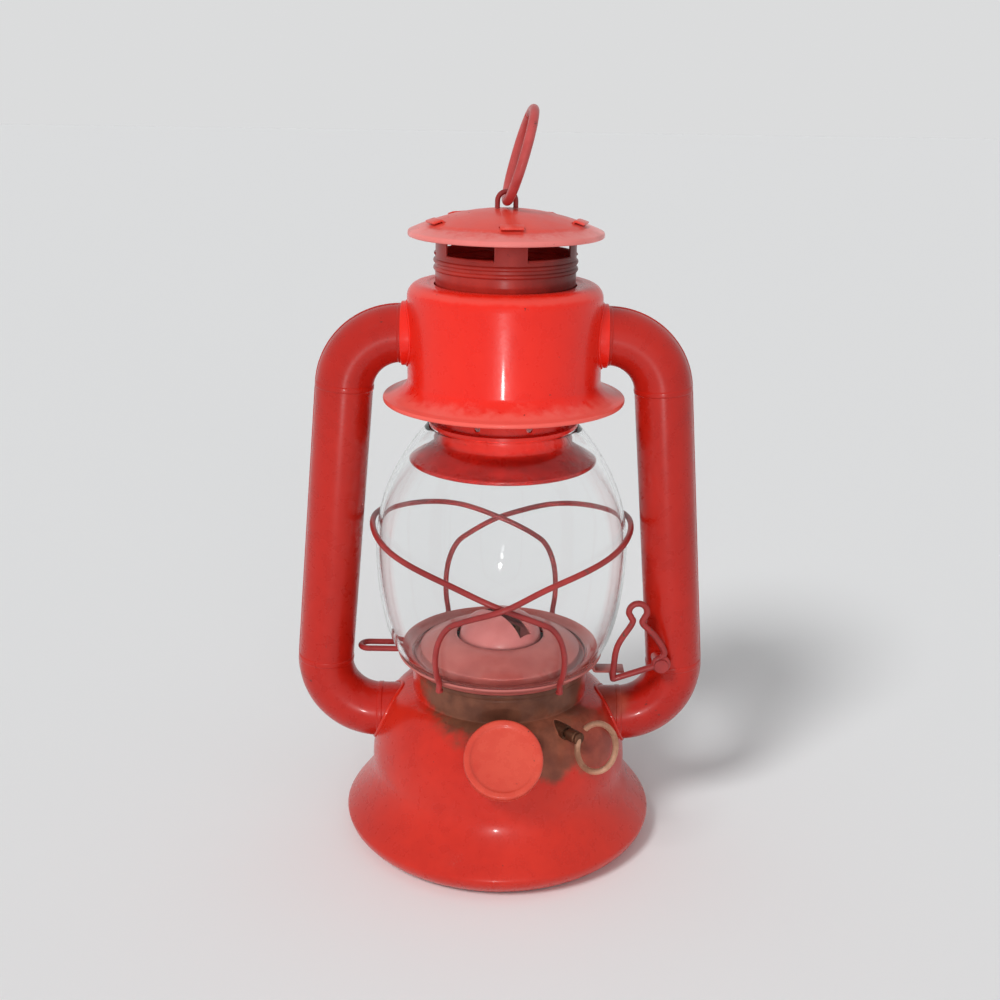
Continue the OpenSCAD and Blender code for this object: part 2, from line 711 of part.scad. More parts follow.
module chimney_neck() {
    top_z = cap_under(neck_r);
    tab_rise = 1.5;
    color("firebrick") union() {
        difference() {
            union() {
                ring(neck_r - sheet, neck_r, neck_z, top_z - neck_z);
                for (z = bead_rises) translate([0, 0, hood_top + z]) rotate_extrude()
                    translate([neck_r - sheet / 4, 0]) circle(r = bead_r);
            }
            translate([0, 0, neck_z - 1]) cylinder(r = neck_r - sheet, h = hood_h);
            for (i = [0:windows - 1])
                rotate([0, 0, crown_turn + 360 * (i + 0.5) / windows - 90 - window_turn / 2])
                translate([0, 0, window_z]) rotate_extrude(angle = window_turn)
                translate([neck_r - 3, 0]) square([6, window_h]);
        }
        for (i = [0:windows - 1]) rotate([0, 0, crown_turn + 360 * i / windows - 90]) {
            translate([neck_r - sheet, -tab_len / 2, top_z - 1])
                cube([sheet, tab_len, 1 + tab_rise + 1.15 * sheet]);
            translate([neck_r - sheet, -tab_len / 2, top_z + tab_rise]) rotate([0, tab_slope, 0])
                cube([tab_fold, tab_len, sheet]);
        }
    }
}

module crown_cap() {
    slot_x = neck_r - sheet - run_gap;
    slot_len = tab_len + 2 * run_gap;
    color("firebrick") difference() {
        lathe(pressed(concat([[cap_r, cap_z]], cap_dome), sheet));
        for (i = [0:windows - 1]) rotate([0, 0, crown_turn + 360 * i / windows - 90])
            translate([slot_x, -slot_len / 2, cap_z]) cube([sheet + 2 * run_gap, slot_len, cap_h + 5]);
    }
}

module ring_eye() {
    bow_r = eye_in + eye_wire / 2;
    color("silver") rotate([0, 0, ring_turn]) difference() {
        union() {
            translate([0, 0, eye_z]) rotate([90, 0, 0]) rotate_extrude(angle = 180) translate([bow_r, 0])
                circle(d = eye_wire);
            for (x = [-bow_r, bow_r]) translate([x, 0, apex_z - 1])
                cylinder(d = eye_wire, h = eye_z - apex_z + 1);
        }
        translate([0, 0, seat_gap]) lathe(concat([[0, cap_z], [cap_r, cap_z]], cap_dome));
    }
}

module carry_ring() {
    color("brown") translate([0, 0, eye_z]) rotate([0, 0, ring_turn]) rotate([0, ring_lean, 0])
        translate([0, 0, ring_d / 2]) rotate([0, 90, 0]) rotate_extrude() translate([ring_d / 2, 0])
        circle(r = ring_r);
}

// Lift lever: wire triangle with a finger ring, an eye on the pin and a foot under the plate tab
module lever_bracket() {
    boss_len = -lever_y - lever_r - run_gap;
    color("firebrick") difference() {
        translate([pivot_x, -boss_len, pivot_z]) rotate([-90, 0, 0]) cylinder(r = eye_r, h = boss_len - 2);
        tube_form(tube_r + seat_gap, low_bend_x - 5, hood_r);
        translate([pivot_x, -boss_len - 1, pivot_z]) rotate([-90, 0, 0])
            cylinder(d = lever_pin_d, h = 1 + pin_root);
    }
}

module lever_pin() {
    head_y = lever_y - lever_r - run_gap;
    head_t = 1.2;
    pin_len = lever_wire + 2 * run_gap + pin_root;
    color("silver") {
        translate([pivot_x, head_y, pivot_z]) rotate([-90, 0, 0]) cylinder(d = lever_pin_d, h = pin_len);
        translate([pivot_x, head_y - head_t, pivot_z]) rotate([-90, 0, 0])
            cylinder(r = eye_r - 0.4, h = head_t);
    }
}

finger = [pivot_x - finger_in, pivot_z + finger_rise];
lever_turns = concat([[pivot_x, pivot_z], [pivot_x + finger_in * 0.1, pivot_z + finger_rise * 0.25],
    [pivot_x - finger_in * 0.3, pivot_z + finger_rise * 0.55], finger + finger_r * [0.6, -1.4]],
    arc(finger, finger_r, -45, 225, 7), [finger - finger_r * [0.6, 1.4],
    [tab_x + lever_r, pivot_z + finger_rise * 0.34], [tab_x, pivot_z - arm_drop * 0.4],
    [tab_x, pivot_z - arm_drop]]);
lever_route = smooth_route(lever_turns, 4);

module lift_lever() {
    foot_y = lift_tab_y + lift_tab_w - run_gap;
    arm = sqrt(arm_reach * arm_reach + arm_drop * arm_drop);
    color("brown") difference() {
        union() {
            wire([for (q = lever_route) [q[0], lever_y, q[1]]], [for (q = lever_route) [0, 1, 0]], lever_r);
            translate([pivot_x, lever_y - lever_r, pivot_z]) rotate([-90, 0, 0])
                cylinder(r = eye_r, h = lever_wire);
            translate([tab_x, lever_y - lever_r, pivot_z - arm_drop]) rotate([-90, 0, 0])
                cylinder(r = lever_r, h = foot_y - lever_y + lever_r);
            translate([tab_x, lever_y, pivot_z - arm_drop]) rotate([0, 90 - atan(arm_drop / arm_reach), 0])
                cylinder(r = lever_r, h = arm);
        }
        translate([pivot_x, lever_y - 5, pivot_z]) rotate([-90, 0, 0])
            cylinder(d = lever_pin_d + 2 * pin_gap, h = 10);
    }
}

// Wick train: spindle with feed wheels and wire knob, and the wick
module wick_spindle() {
    color("silver") along_spindle(spindle_r, -burner_r - spindle_tail, knob_reach - knob_r - knob_gap);
}

module feed_wheels() {
    teeth = 10;
    tooth_h = 0.8;
    color("silver") at_burner() for (x = [-wheel_x, wheel_x])
        translate([x - wheel_w / 2, spindle_y, spindle_z]) rotate([0, 90, 0]) linear_extrude(wheel_w)
        difference() {
            polygon([for (i = [0:2 * teeth - 1])
                let (r = i % 2 == 0 ? wheel_r : wheel_r - tooth_h, a = 180 * i / teeth)
                r * [cos(a), sin(a)]]);
            circle(r = spindle_r + seat_gap);
        }
}

module wick_knob() {
    ferrule_r = spindle_r + 0.9;
    color("darkkhaki") at_burner() translate([knob_reach, spindle_y, spindle_z]) union() {
        rotate([-knob_roll, 0, 0]) rotate([90, 0, 0]) rotate([0, 0, 180]) rotate_extrude(angle = 330)
            translate([knob_r, 0]) circle(d = knob_wire);
        difference() {
            translate([-knob_r - ferrule_len, 0, 0]) rotate([0, 90, 0])
                cylinder(r = ferrule_r, h = ferrule_len);
            translate([-knob_r - ferrule_len - 1, 0, 0]) rotate([0, 90, 0])
                cylinder(r = spindle_r + seat_gap, h = ferrule_len + 1 - knob_gap + seat_gap);
        }
    }
}

module wick() {
    low_z = waist_h - 16;
    high_z = cone_top - cone_rise * 0.45;
    color("ivory") at_burner() translate([-wick_w / 2, -wick_t / 2, low_z])
        cube([wick_w, wick_t, high_z - low_z]);
}

fount_shell();
fount_bottom();
air_drum();
burner_collar();
burner_body();
wick_tube();
burner_cone();
spindle_sleeve();
filler_neck();
left_tube();
right_tube();
hood();
hood_collars();
crown_spring();
lever_bracket();
lever_pin();
globe_plate();
globe();
left_guard();
right_guard();
plate_guide();
chimney_tube();
globe_seat();
chimney_neck();
crown_cap();
ring_eye();
carry_ring();
lift_lever();
wick_spindle();
feed_wheels();
wick_knob();
wick();
filler_gasket();
filler_cap();
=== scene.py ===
"""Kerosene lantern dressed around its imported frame.

Sizes are written in millimetres. Every finished piece lies in metres in the frame's own axes: +Z is up and
the front, with the filler cap, faces -Y.
"""

import logging
import math
from dataclasses import dataclass, field
from enum import Enum
from typing import Callable, Sequence

import bpy
from mathutils import Matrix, Vector


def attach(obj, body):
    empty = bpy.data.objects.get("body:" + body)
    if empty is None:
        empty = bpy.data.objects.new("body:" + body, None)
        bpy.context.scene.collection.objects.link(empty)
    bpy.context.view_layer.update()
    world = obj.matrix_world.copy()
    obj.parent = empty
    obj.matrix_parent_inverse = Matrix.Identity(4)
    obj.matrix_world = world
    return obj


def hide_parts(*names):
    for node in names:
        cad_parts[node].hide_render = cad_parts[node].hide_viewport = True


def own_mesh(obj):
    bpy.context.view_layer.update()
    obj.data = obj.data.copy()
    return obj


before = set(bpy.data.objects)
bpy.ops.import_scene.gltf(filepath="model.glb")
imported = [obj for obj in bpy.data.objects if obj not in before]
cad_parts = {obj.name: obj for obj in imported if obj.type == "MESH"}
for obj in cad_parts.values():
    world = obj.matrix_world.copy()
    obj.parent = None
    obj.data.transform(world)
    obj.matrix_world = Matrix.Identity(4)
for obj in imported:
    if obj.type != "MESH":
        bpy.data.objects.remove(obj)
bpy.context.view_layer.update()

LOG = logging.getLogger("lantern")
MM = 0.001
TAU = math.tau
QUARTER = math.pi / 2
TINY = 1e-6  # closer points are merged, in metres
PLAY = 0.05  # between a hole and what passes through it, in millimetres
THIN = 8  # faces round a bead, a seam or a thread
Pair = tuple[float, float]
Colour = tuple[float, float, float, float]
Piece = bpy.types.Object
Node = bpy.types.Node
Socket = bpy.types.NodeSocket


class Body(Enum):
    """The moving bodies of the lantern."""

    FRAME = "frame"
    CARRIAGE = "globe_carriage"
    LEVER = "lift_lever"
    RING = "carry_ring"
    WICK_TRAIN = "wick_train"
    WICK = "wick"
    GASKET = "filler_gasket"
    CAP = "filler_cap"


class Slot(Enum):
    """The record's material slots."""

    RED = "red_paint"
    WIRE = "wire_paint"
    GLASS = "globe_glass"
    TIN = "tinned_steel"
    BRASS = "brass"
    STEEL = "steel"
    COTTON = "cotton"
    GASKET = "gasket"


# Outlines and routes


@dataclass(frozen=True)
class Stop:
    """One corner of an outline: radius, height and how far back the corner is rounded."""

    r: float
    z: float
    soft: float = 0.0


def rounded(stops: Sequence[Stop], steps: int = 5) -> list[Pair]:
    """Rounds the corners of an outline.

    Args:
        stops: The corners in order.
        steps: Steps across each rounded corner.

    Returns:
        The outline as (radius, height) pairs.
    """
    line: list[Pair] = []
    for i, stop in enumerate(stops):
        if stop.soft <= 0 or i in (0, len(stops) - 1):
            line.append((stop.r, stop.z))
            continue
        before, here, after = (Vector((s.r, s.z)) for s in stops[i - 1:i + 2])
        start = here + (before - here).normalized() * min(stop.soft, (before - here).length / 2)
        end = here + (after - here).normalized() * min(stop.soft, (after - here).length / 2)
        for k in range(steps + 1):
            t = k / steps
            line.append(tuple(start * (1 - t) ** 2 + here * 2 * t * (1 - t) + end * t * t))
    return line


def shell(route: Sequence[Pair], wall: float) -> list[Pair]:
    """Gives a route a sheet thickness on its left-hand side, with rounded edges.

    Args:
        route: The face of the sheet as (radius, height) pairs.
        wall: Thickness; a negative one goes to the right-hand side.

    Returns:
        A closed outline, its first pair repeated at the end.
    """
    points = [Vector(p) for p in route]
    last = len(points) - 1
    sides = []
    for i in range(last + 1):
        d = (points[min(i + 1, last)] - points[max(i - 1, 0)]).normalized()
        sides.append(Vector((-d.y, d.x)) * wall)
    back = [p + s for p, s in zip(points, sides)]
    line = [tuple(p) for p in points]
    for end, way in ((last, 1), (0, -1)):
        if end == 0:
            line += [(max(q.x, 0.0), q.y) for q in reversed(back)]
        if points[end].x < TINY:
            continue
        inner = points[1] if end == 0 else points[last - 1]
        out = (points[end] - inner).normalized() * abs(wall) / 2
        middle = (points[end] + back[end]) / 2
        half = (points[end] - middle) * way
        for angle in (math.pi / 4, QUARTER, 3 * math.pi / 4):
            line.append(tuple(middle + half * math.cos(angle) + out * math.sin(angle)))
    return line + [line[0]]


def smooth_route(points: Sequence[Vector], steps: int) -> list[Vector]:
    """Runs a smooth curve through a few points.

    Args:
        points: The points to pass through.
        steps: Steps between two points.

    Returns:
        The points of the curve.
    """
    last = len(points) - 1
    curve = []
    for i in range(last):
        a, b, c, d = points[max(i - 1, 0)], points[i], points[i + 1], points[min(i + 2, last)]
        for k in range(steps):
            t = k / steps
            curve.append(0.5 * (2 * b + (c - a) * t + (2 * a - 5 * b + 4 * c - d) * t ** 2
                                + (3 * b - a - 3 * c + d) * t ** 3))
    return curve + [points[last].copy()]


def around(radius: float, angle: float, z: float = 0.0) -> Vector:
    """The point at an angle in radians on a circle about the Z axis."""
    return Vector((radius * math.cos(angle), radius * math.sin(angle), z))


def circle_route(radius: float, first: float, last: float, steps: int) -> list[Vector]:
    """Points along an arc in the XY plane, from one angle to another in degrees."""
    return [around(radius, math.radians(first + (last - first) * i / steps)) for i in range(steps + 1)]


def placed(x: float, y: float, z: float) -> Matrix:
    """A move in millimetres as a matrix in millimetres."""
    return Matrix.Translation((x, y, z))


def turned(angle: float, axis: str) -> Matrix:
    """A turn in degrees about one axis."""
    return Matrix.Rotation(math.radians(angle), 4, axis)


ACROSS = turned(180, "Z")
SIDEWAYS = turned(90, "Y")


class Bench:
    """Hand tools that shape the piece in hand through Blender's own operators."""

    @staticmethod
    def clear() -> None:
        """Lets go of everything."""
        bpy.ops.object.select_all(action="DESELECT")

    @staticmethod
    def take(piece: Piece) -> None:
        """Selects one piece alone and makes it the active one.

        Args:
            piece: The piece to take up.
        """
        Bench.clear()
        piece.select_set(True)
        bpy.context.view_layer.objects.active = piece

    @staticmethod
    def named(name: str) -> Piece:
        """Names the piece that was just added, and its mesh.

        Args:
            name: Its name.

        Returns:
            The piece.
        """
        piece = bpy.context.object
        piece.name = name
        piece.data.name = name
        return piece

    @staticmethod
    def chain(name: str, points: Sequence[Vector]) -> Piece:
        """Draws a chain of edges and stays in edit mode with all of it selected.

        Args:
            name: The piece's name.
            points: The corners in millimetres.

        Returns:
            The piece.
        """
        Bench.clear()
        bpy.ops.mesh.primitive_plane_add(size=MM)
        piece = Bench.named(name)
        bpy.ops.object.mode_set(mode="EDIT")
        bpy.ops.mesh.select_all(action="SELECT")
        bpy.ops.mesh.merge(type="CENTER")
        bpy.ops.transform.translate(value=points[0] * MM)
        for a, b in zip(points, points[1:]):
            bpy.ops.mesh.extrude_vertices_move(TRANSFORM_OT_translate={"value": (b - a) * MM})
        bpy.ops.mesh.select_all(action="SELECT")
        return piece

    @staticmethod
    def face(name: str, outline: Sequence[Vector]) -> Piece:
        """Fills a closed outline, its first point repeated, and stays in edit mode.

        Args:
            name: The piece's name.
            outline: The corners in millimetres.

        Returns:
            The piece.
        """
        piece = Bench.chain(name, outline)
        bpy.ops.mesh.remove_doubles(threshold=TINY)
        bpy.ops.mesh.edge_face_add()
        return piece

    @staticmethod
    def push(x: float, y: float, z: float) -> None:
        """Extrudes what is selected by a step in millimetres."""
        bpy.ops.mesh.extrude_region_move(TRANSFORM_OT_translate={"value": (x * MM, y * MM, z * MM)})

    @staticmethod
    def weld() -> None:
        """Merges doubles, points all faces outwards and leaves edit mode."""
        bpy.ops.mesh.select_all(action="SELECT")
        bpy.ops.mesh.remove_doubles(threshold=TINY)
        bpy.ops.mesh.normals_make_consistent(inside=False)
        bpy.ops.object.mode_set(mode="OBJECT")

    @staticmethod
    def turn(name: str, outline: Sequence[Pair], steps: int = 96) -> Piece:
        """Spins an outline about the Z axis.

        Args:
            name: The piece's name.
            outline: (radius, height) pairs in millimetres.
            steps: Steps round the axis.

        Returns:
            The turned piece.
        """
        piece = Bench.chain(name, [Vector((r, 0.0, z)) for r, z in outline])
        bpy.ops.mesh.spin(steps=steps, angle=TAU, center=(0, 0, 0), axis=(0, 0, 1))
        Bench.weld()
        return piece

    @staticmethod
    def wire(name: str, route: Sequence[Vector], radius: float, sides: int = 12,
             closed: bool = False) -> Piece:
        """Draws round wire along a route and rounds its ends off.

        Args:
            name: The piece's name.
            route: Points of the centre line in millimetres.
            radius: Radius of the wire.
            sides: Faces round the wire, an even number.
            closed: True for an endless loop.

        Returns:
            The wire as a mesh.
        """
        Bench.clear()
        bpy.ops.curve.primitive_nurbs_path_add()
        piece = Bench.named(name)
        curve = piece.data
        curve.splines.clear()
        spline = curve.splines.new("POLY")
        spline.points.add(len(route) - 1)
        for point, place in zip(spline.points, route):
            point.co = (*(place * MM), 1.0)
        spline.use_cyclic_u = closed
        curve.dimensions = "3D"
        curve.bevel_depth = radius * MM
        curve.bevel_resolution = (sides - 4) // 2
        curve.use_fill_caps = not closed
        bpy.ops.object.convert(target="MESH")
        piece = Bench.named(name)
        if not closed:
            for face in piece.data.polygons:
                face.select = len(face.vertices) > 4
            bpy.ops.object.mode_set(mode="EDIT")
            bpy.ops.mesh.select_mode(type="FACE")
            for _ in range(2):
                bpy.ops.mesh.inset(thickness=radius * 0.3 * MM, depth=radius * 0.18 * MM)
            bpy.ops.mesh.select_mode(type="VERT")
        else:
            bpy.ops.object.mode_set(mode="EDIT")
        Bench.weld()
        return piece

    @staticmethod
    def strip(name: str, route: Sequence[Pair], width: float, wall: float, edge: float = 0.15) -> Piece:
        """Folds a strip of sheet along a route in the XZ plane.

        Args:
            name: The piece's name.
            route: (x, z) pairs in millimetres along one face.
            width: Width along Y.
            wall: Thickness to the left of the route.
            edge: Rounding of the cut edges.

        Returns:
            The folded strip.
        """
        piece = Bench.face(name, [Vector((x, -width / 2, z)) for x, z in shell(route, wall)])
        Bench.push(0, width, 0)
        Bench.weld()
        Bench.modify(piece, "BEVEL", width=edge * MM, segments=2, limit_method="ANGLE",
                     angle_limit=math.radians(50))
        return piece

    @staticmethod
    def block(name: str, low: Sequence[float], high: Sequence[float], place: Matrix = Matrix()) -> Piece:
        """A cutting block between two corners in millimetres, set down by a matrix.

        Args:
            name: The piece's name.
            low: Its lowest corner.
            high: Its highest corner.
            place: Where it goes.

        Returns:
            The block.
        """
        Bench.clear()
        bpy.ops.mesh.primitive_cube_add(size=MM)
        piece = Bench.named(name)
        middle = (Vector(low) + Vector(high)) / 2
        scale = Matrix.Diagonal([h - l for l, h in zip(low, high)] + [1.0])
        return Bench.set_down(piece, place @ Matrix.Translation(middle) @ scale)

    @staticmethod
    def drill(name: str, radius: float, low: float, high: float, place: Matrix) -> Piece:
        """A round cutter along its own Z, from low to high, set down by a matrix.

        Args:
            name: The piece's name.
            radius: Its radius in millimetres.
            low: Where it starts.
            high: Where it ends.
            place: Where it goes.

        Returns:
            The cutter.
        """
        Bench.clear()
        bpy.ops.mesh.primitive_cylinder_add(vertices=48, radius=radius * MM, depth=(high - low) * MM)
        return Bench.set_down(Bench.named(name), place @ placed(0, 0, (low + high) / 2))

    @staticmethod
    def set_down(piece: Piece, place: Matrix) -> Piece:
        """Moves a piece by a matrix in millimetres and puts the move into its mesh.

        Args:
            piece: The piece to move.
            place: The move.

        Returns:
            The piece.
        """
        Bench.take(piece)
        metres = place.copy()
        metres.translation = place.translation * MM
        piece.matrix_world = metres @ piece.matrix_world
        bpy.ops.object.transform_apply(location=True, rotation=True, scale=True)
        return piece

    @staticmethod
    def copy(piece: Piece, place: Matrix) -> Piece:
        """Copies a piece with its own mesh and sets the copy down by a matrix.

        Args:
            piece: The piece to copy.
            place: The move from the piece to its copy.

        Returns:
            The copy.
        """
        twin = piece.copy()
        twin.data = piece.data.copy()
        bpy.context.scene.collection.objects.link(twin)
        return Bench.set_down(twin, place)

    @staticmethod
    def join(pieces: Sequence[Piece]) -> Piece:
        """Joins pieces into the first of them.

        Args:
            pieces: The pieces; all but the first are used up.

        Returns:
            The first piece.
        """
        Bench.take(pieces[0])
        for piece in pieces[1:]:
            piece.select_set(True)
        if len(pieces) > 1:
            bpy.ops.object.join()
        return pieces[0]

    @staticmethod
    def round_about(piece: Piece, turns: Sequence[float]) -> Piece:
        """Joins copies of a piece about the Z axis, one for each turn in degrees; the original goes.

        Args:
            piece: The piece at no turn.
            turns: The turns in degrees.

        Returns:
            The joined copies.
        """
        made = [Bench.copy(piece, turned(a, "Z")) for a in turns]
        bpy.data.objects.remove(piece)
        return Bench.join(made)

    @staticmethod
    def modify(piece: Piece, kind: str, **settings: object) -> None:
        """Adds a modifier with these settings and applies it.

        Args:
            piece: The piece to change.
            kind: The modifier's type.
            settings: Its settings by name.
        """
        Bench.take(piece)
        modifier = piece.modifiers.new(kind.lower(), kind)
        for key, value in settings.items():
            setattr(modifier, key, value)
        bpy.ops.object.modifier_apply(modifier=modifier.name)

    @staticmethod
    def cut(piece: Piece, cutters: Sequence[Piece]) -> Piece:
        """Cuts all the cutters out of a piece and throws them away.

        Args:
            piece: The piece to cut.
            cutters: The cutters, which are used up.

        Returns:
            The piece.
        """
        tool = Bench.join(list(cutters))
        Bench.modify(piece, "BOOLEAN", operation="DIFFERENCE", solver="EXACT", object=tool)
        bpy.data.objects.remove(tool)
        return piece

    @staticmethod
    def deliver(piece: Piece, finish: "Finish", body: Body, slot: Slot, *nodes: str,
                angle: float = 38.0) -> Piece:
        """Shades and paints a piece, hangs it on its body and says what it stands for.

        Args:
            piece: The finished mesh.
            finish: Its finish.
            body: The body that it rides on.
            slot: The record's slot for its finish; not used.
            nodes: CAD nodes that it replaces.
            angle: Edges sharper than this stay sharp.

        Returns:
            The piece.
        """
        Bench.take(piece)
        bpy.ops.object.shade_smooth_by_angle(angle=math.radians(angle))
        piece.data.materials.clear()
        piece.data.materials.append(finish.material())
        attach(piece, body.value)
        if nodes:
            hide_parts(*nodes)
        LOG.info("%s on %s, %d faces, for %s", piece.name, body.value, len(piece.data.polygons),
                 ", ".join(nodes) or "detail")
        return piece


# Finishes


def srgb(red: int, green: int, blue: int) -> Colour:
    """A colour written in 0..255 screen values, as a linear one."""
    linear = [((c / 255 + 0.055) / 1.055) ** 2.4 if c > 10 else c / 3294.6 for c in (red, green, blue)]
    return (*linear, 1.0)


class Board:
    """A node tree with short calls that add and join nodes."""

    def __init__(self, tree: bpy.types.NodeTree) -> None:
        """Takes the tree to work on."""
        self.tree = tree

    def add(self, kind: str, *inputs: object, **settings: object) -> Node:
        """Adds a node.

        Args:
            kind: Its type without the ShaderNode in front.
            inputs: Values or sockets for its inputs in order, None to skip one.
            settings: Its own settings.

        Returns:
            The node.
        """
        node = self.tree.nodes.new("ShaderNode" + kind)
        for key, value in settings.items():
            setattr(node, key, value)
        for socket, value in zip(node.inputs, inputs):
            self.feed(socket, value)
        return node

    def feed(self, socket: Socket, value: object) -> None:
        """Joins a socket to another or sets its value; None leaves it.

        Args:
            socket: The input to feed.
            value: A socket, a value or None.
        """
        if isinstance(value, Socket):
            self.tree.links.new(value, socket)
        elif value is not None:
            socket.default_value = value

    def place(self) -> Socket:
        """Object coordinates."""
        return self.add("TexCoord").outputs["Object"]

    def math(self, operation: str, *values: object) -> Socket:
        """One sum."""
        return self.add("Math", *values, operation=operation).outputs[0]

    def plus(self, first: object, second: object) -> Socket:
        """Adds two values."""
        return self.math("ADD", first, second)

    def minus(self, first: object, second: object) -> Socket:
        """Takes the second value from the first."""
        return self.math("SUBTRACT", first, second)

    def times(self, first: object, second: object) -> Socket:
        """Multiplies two values."""
        return self.math("MULTIPLY", first, second)

    def vector(self, operation: str, *values: object) -> Node:
        """One vector sum."""
        return self.add("VectorMath", *values, operation=operation)

    def noise(self, place: object, scale: object, detail: float = 3.0, rough: float = 0.55) -> Socket:
        """Noise between about 0.3 and 0.7.

        Args:
            place: Where it is read.
            scale: Waves a metre.
            detail: How many finer layers it has.
            rough: How strong the finer layers are.

        Returns:
            The noise.
        """
        node = self.add("TexNoise")
        for key, value in {"Vector": place, "Scale": scale, "Detail": detail, "Roughness": rough}.items():
            self.feed(node.inputs[key], value)
        return node.outputs[0]

    def ramp(self, value: object, low: object, high: object, to_low: object = 0.0,
             to_high: object = 1.0) -> Socket:
        """A smooth step from one range to another."""
        return self.add("MapRange", value, low, high, to_low, to_high,
                        interpolation_type="SMOOTHSTEP").outputs[0]

    def mix(self, share: object, first: object, second: object) -> Socket:
        """Mixes two colours.

        Args:
            share: Share of the second colour.
            first: A colour or a socket.
            second: Another.

        Returns:
            The mixed colour.
        """
        node = self.add("Mix", data_type="RGBA")
        for index, value in ((0, share), (6, first), (7, second)):
            self.feed(node.inputs[index], value)
        return node.outputs[2]

    def group(self, effect: "Effect", **values: object) -> Socket:
        """Places an effect with its own values and gives its output.

        Args:
            effect: The effect.
            values: Its inputs by name.

        Returns:
            The effect's output.
        """
        node = self.add("Group", node_tree=effect.tree())
        for key, value in values.items():
            self.feed(node.inputs[key], value)
        return node.outputs[0]


@dataclass(frozen=True)
class Effect:
    """A shader node group that several finishes share."""

    name: str
    inputs: tuple[tuple[str, object], ...]
    output: str
    wiring: Callable[[Board, Node], Socket]

    def tree(self) -> bpy.types.NodeTree:
        """Builds the group the first time and finds it after that.

        Returns:
            The node group.
        """
        found = bpy.data.node_groups.get(self.name)
        if found:
            return found
        tree = bpy.data.node_groups.new(self.name, "ShaderNodeTree")
        for name, value in self.inputs:
            kind = "NodeSocketVector" if isinstance(value, tuple) else "NodeSocketFloat"
            tree.interface.new_socket(name, in_out="INPUT", socket_type=kind).default_value = value
        tree.interface.new_socket(self.output, in_out="OUTPUT", socket_type="NodeSocketFloat")
        board = Board(tree)
        source = tree.nodes.new("NodeGroupInput")
        sink = tree.nodes.new("NodeGroupOutput")
        tree.links.new(self.wiring(board, source), sink.inputs[0])
        return tree


def wire_drift(board: Board, source: Node) -> Socket:
    """Slow change of tone: stretched noise spread to the full range."""
    place = board.vector("MULTIPLY", board.place(), source.outputs["Stretch"]).outputs[0]
    return board.ramp(board.noise(place, source.outputs["Scale"], 4.0), 0.32, 0.68)


def wire_flecks(board: Board, source: Node) -> Socket:
    """Small chips that gather in some places and leave others alone.

    Args:
        board: The group's board.
        source: The group's input node.

    Returns:
        The mask.
    """
    place = board.place()
    scale = source.outputs["Scale"]
    crowd = board.ramp(board.noise(place, board.times(scale, 0.12), 2.0), 0.42, 0.66)
    fine = board.plus(board.noise(place, scale, 5.0, 0.65), board.times(crowd, 0.1))
    edge = board.minus(0.86, source.outputs["Share"])
    return board.ramp(fine, edge, board.plus(edge, 0.03))


def wire_rim(board: Board, source: Node) -> Socket:
    """Distance from a round edge about the lantern axis, broken up by noise.

    Args:
        board: The group's board.
        source: The group's input node.

    Returns:
        The mask.
    """
    place = board.place()
    given = source.outputs
    flat = board.vector("MULTIPLY", place, (1.0, 1.0, 0.0)).outputs[0]
    over = board.minus(board.vector("LENGTH", flat).outputs["Value"], given["Radius"])
    up = board.minus(board.add("SeparateXYZ", place).outputs[2], given["Height"])
    away = board.math("SQRT", board.plus(board.times(over, over), board.times(up, up)))
    torn = board.times(board.minus(board.noise(place, 260.0, 5.0, 0.65), 0.5), given["Break"])
    return board.ramp(board.plus(board.math("DIVIDE", away, given["Reach"]), torn), 1.0, 0.35)


def wire_patch(board: Board, source: Node) -> Socket:
    """A cloud about a centre, broken up by noise at two scales.

    Args:
        board: The group's board.
        source: The group's input node.

    Returns:
        The mask.
    """
    place = board.place()
    given = source.outputs
    near = board.vector("SUBTRACT", place, given["Centre"]).outputs[0]
    near = board.vector("DIVIDE", near, given["Reach"]).outputs[0]
    away = board.vector("LENGTH", near).outputs["Value"]
    torn = board.plus(board.noise(place, 70.0, 4.0), board.times(board.noise(place, 330.0, 4.0), 0.45))
    torn = board.times(board.minus(torn, 0.72), given["Break"])
    return board.ramp(board.plus(away, torn), 1.04, board.minus(0.86, given["Soft"]))


def wire_peel(board: Board, source: Node) -> Socket:
    """Height of sprayed paint: fine peel over slow waves of the sheet.

    Args:
        board: The group's board.
        source: The group's input node.

    Returns:
        The height.
    """
    place = board.place()
    given = source.outputs
    fine = board.times(board.noise(place, given["Scale"], 2.0), given["Fine"])
    return board.plus(fine, board.times(board.noise(place, 38.0, 1.0), given["Wave"]))


def wire_weave(board: Board, source: Node) -> Socket:
    """Height of a plain weave: two sets of rounded threads that pass over each other.

    Args:
        board: The group's board.
        source: The group's input node.

    Returns:
        The height.
    """
    threads = board.vector("MULTIPLY", board.place(), source.outputs["Threads"]).outputs[0]
    split = board.add("SeparateXYZ", threads).outputs
    warp = board.math("SINE", board.times(board.plus(split[0], split[1]), math.pi))
    weft = board.math("SINE", board.times(split[2], math.pi))
    return board.plus(board.times(warp, weft), board.math("ABSOLUTE", warp))


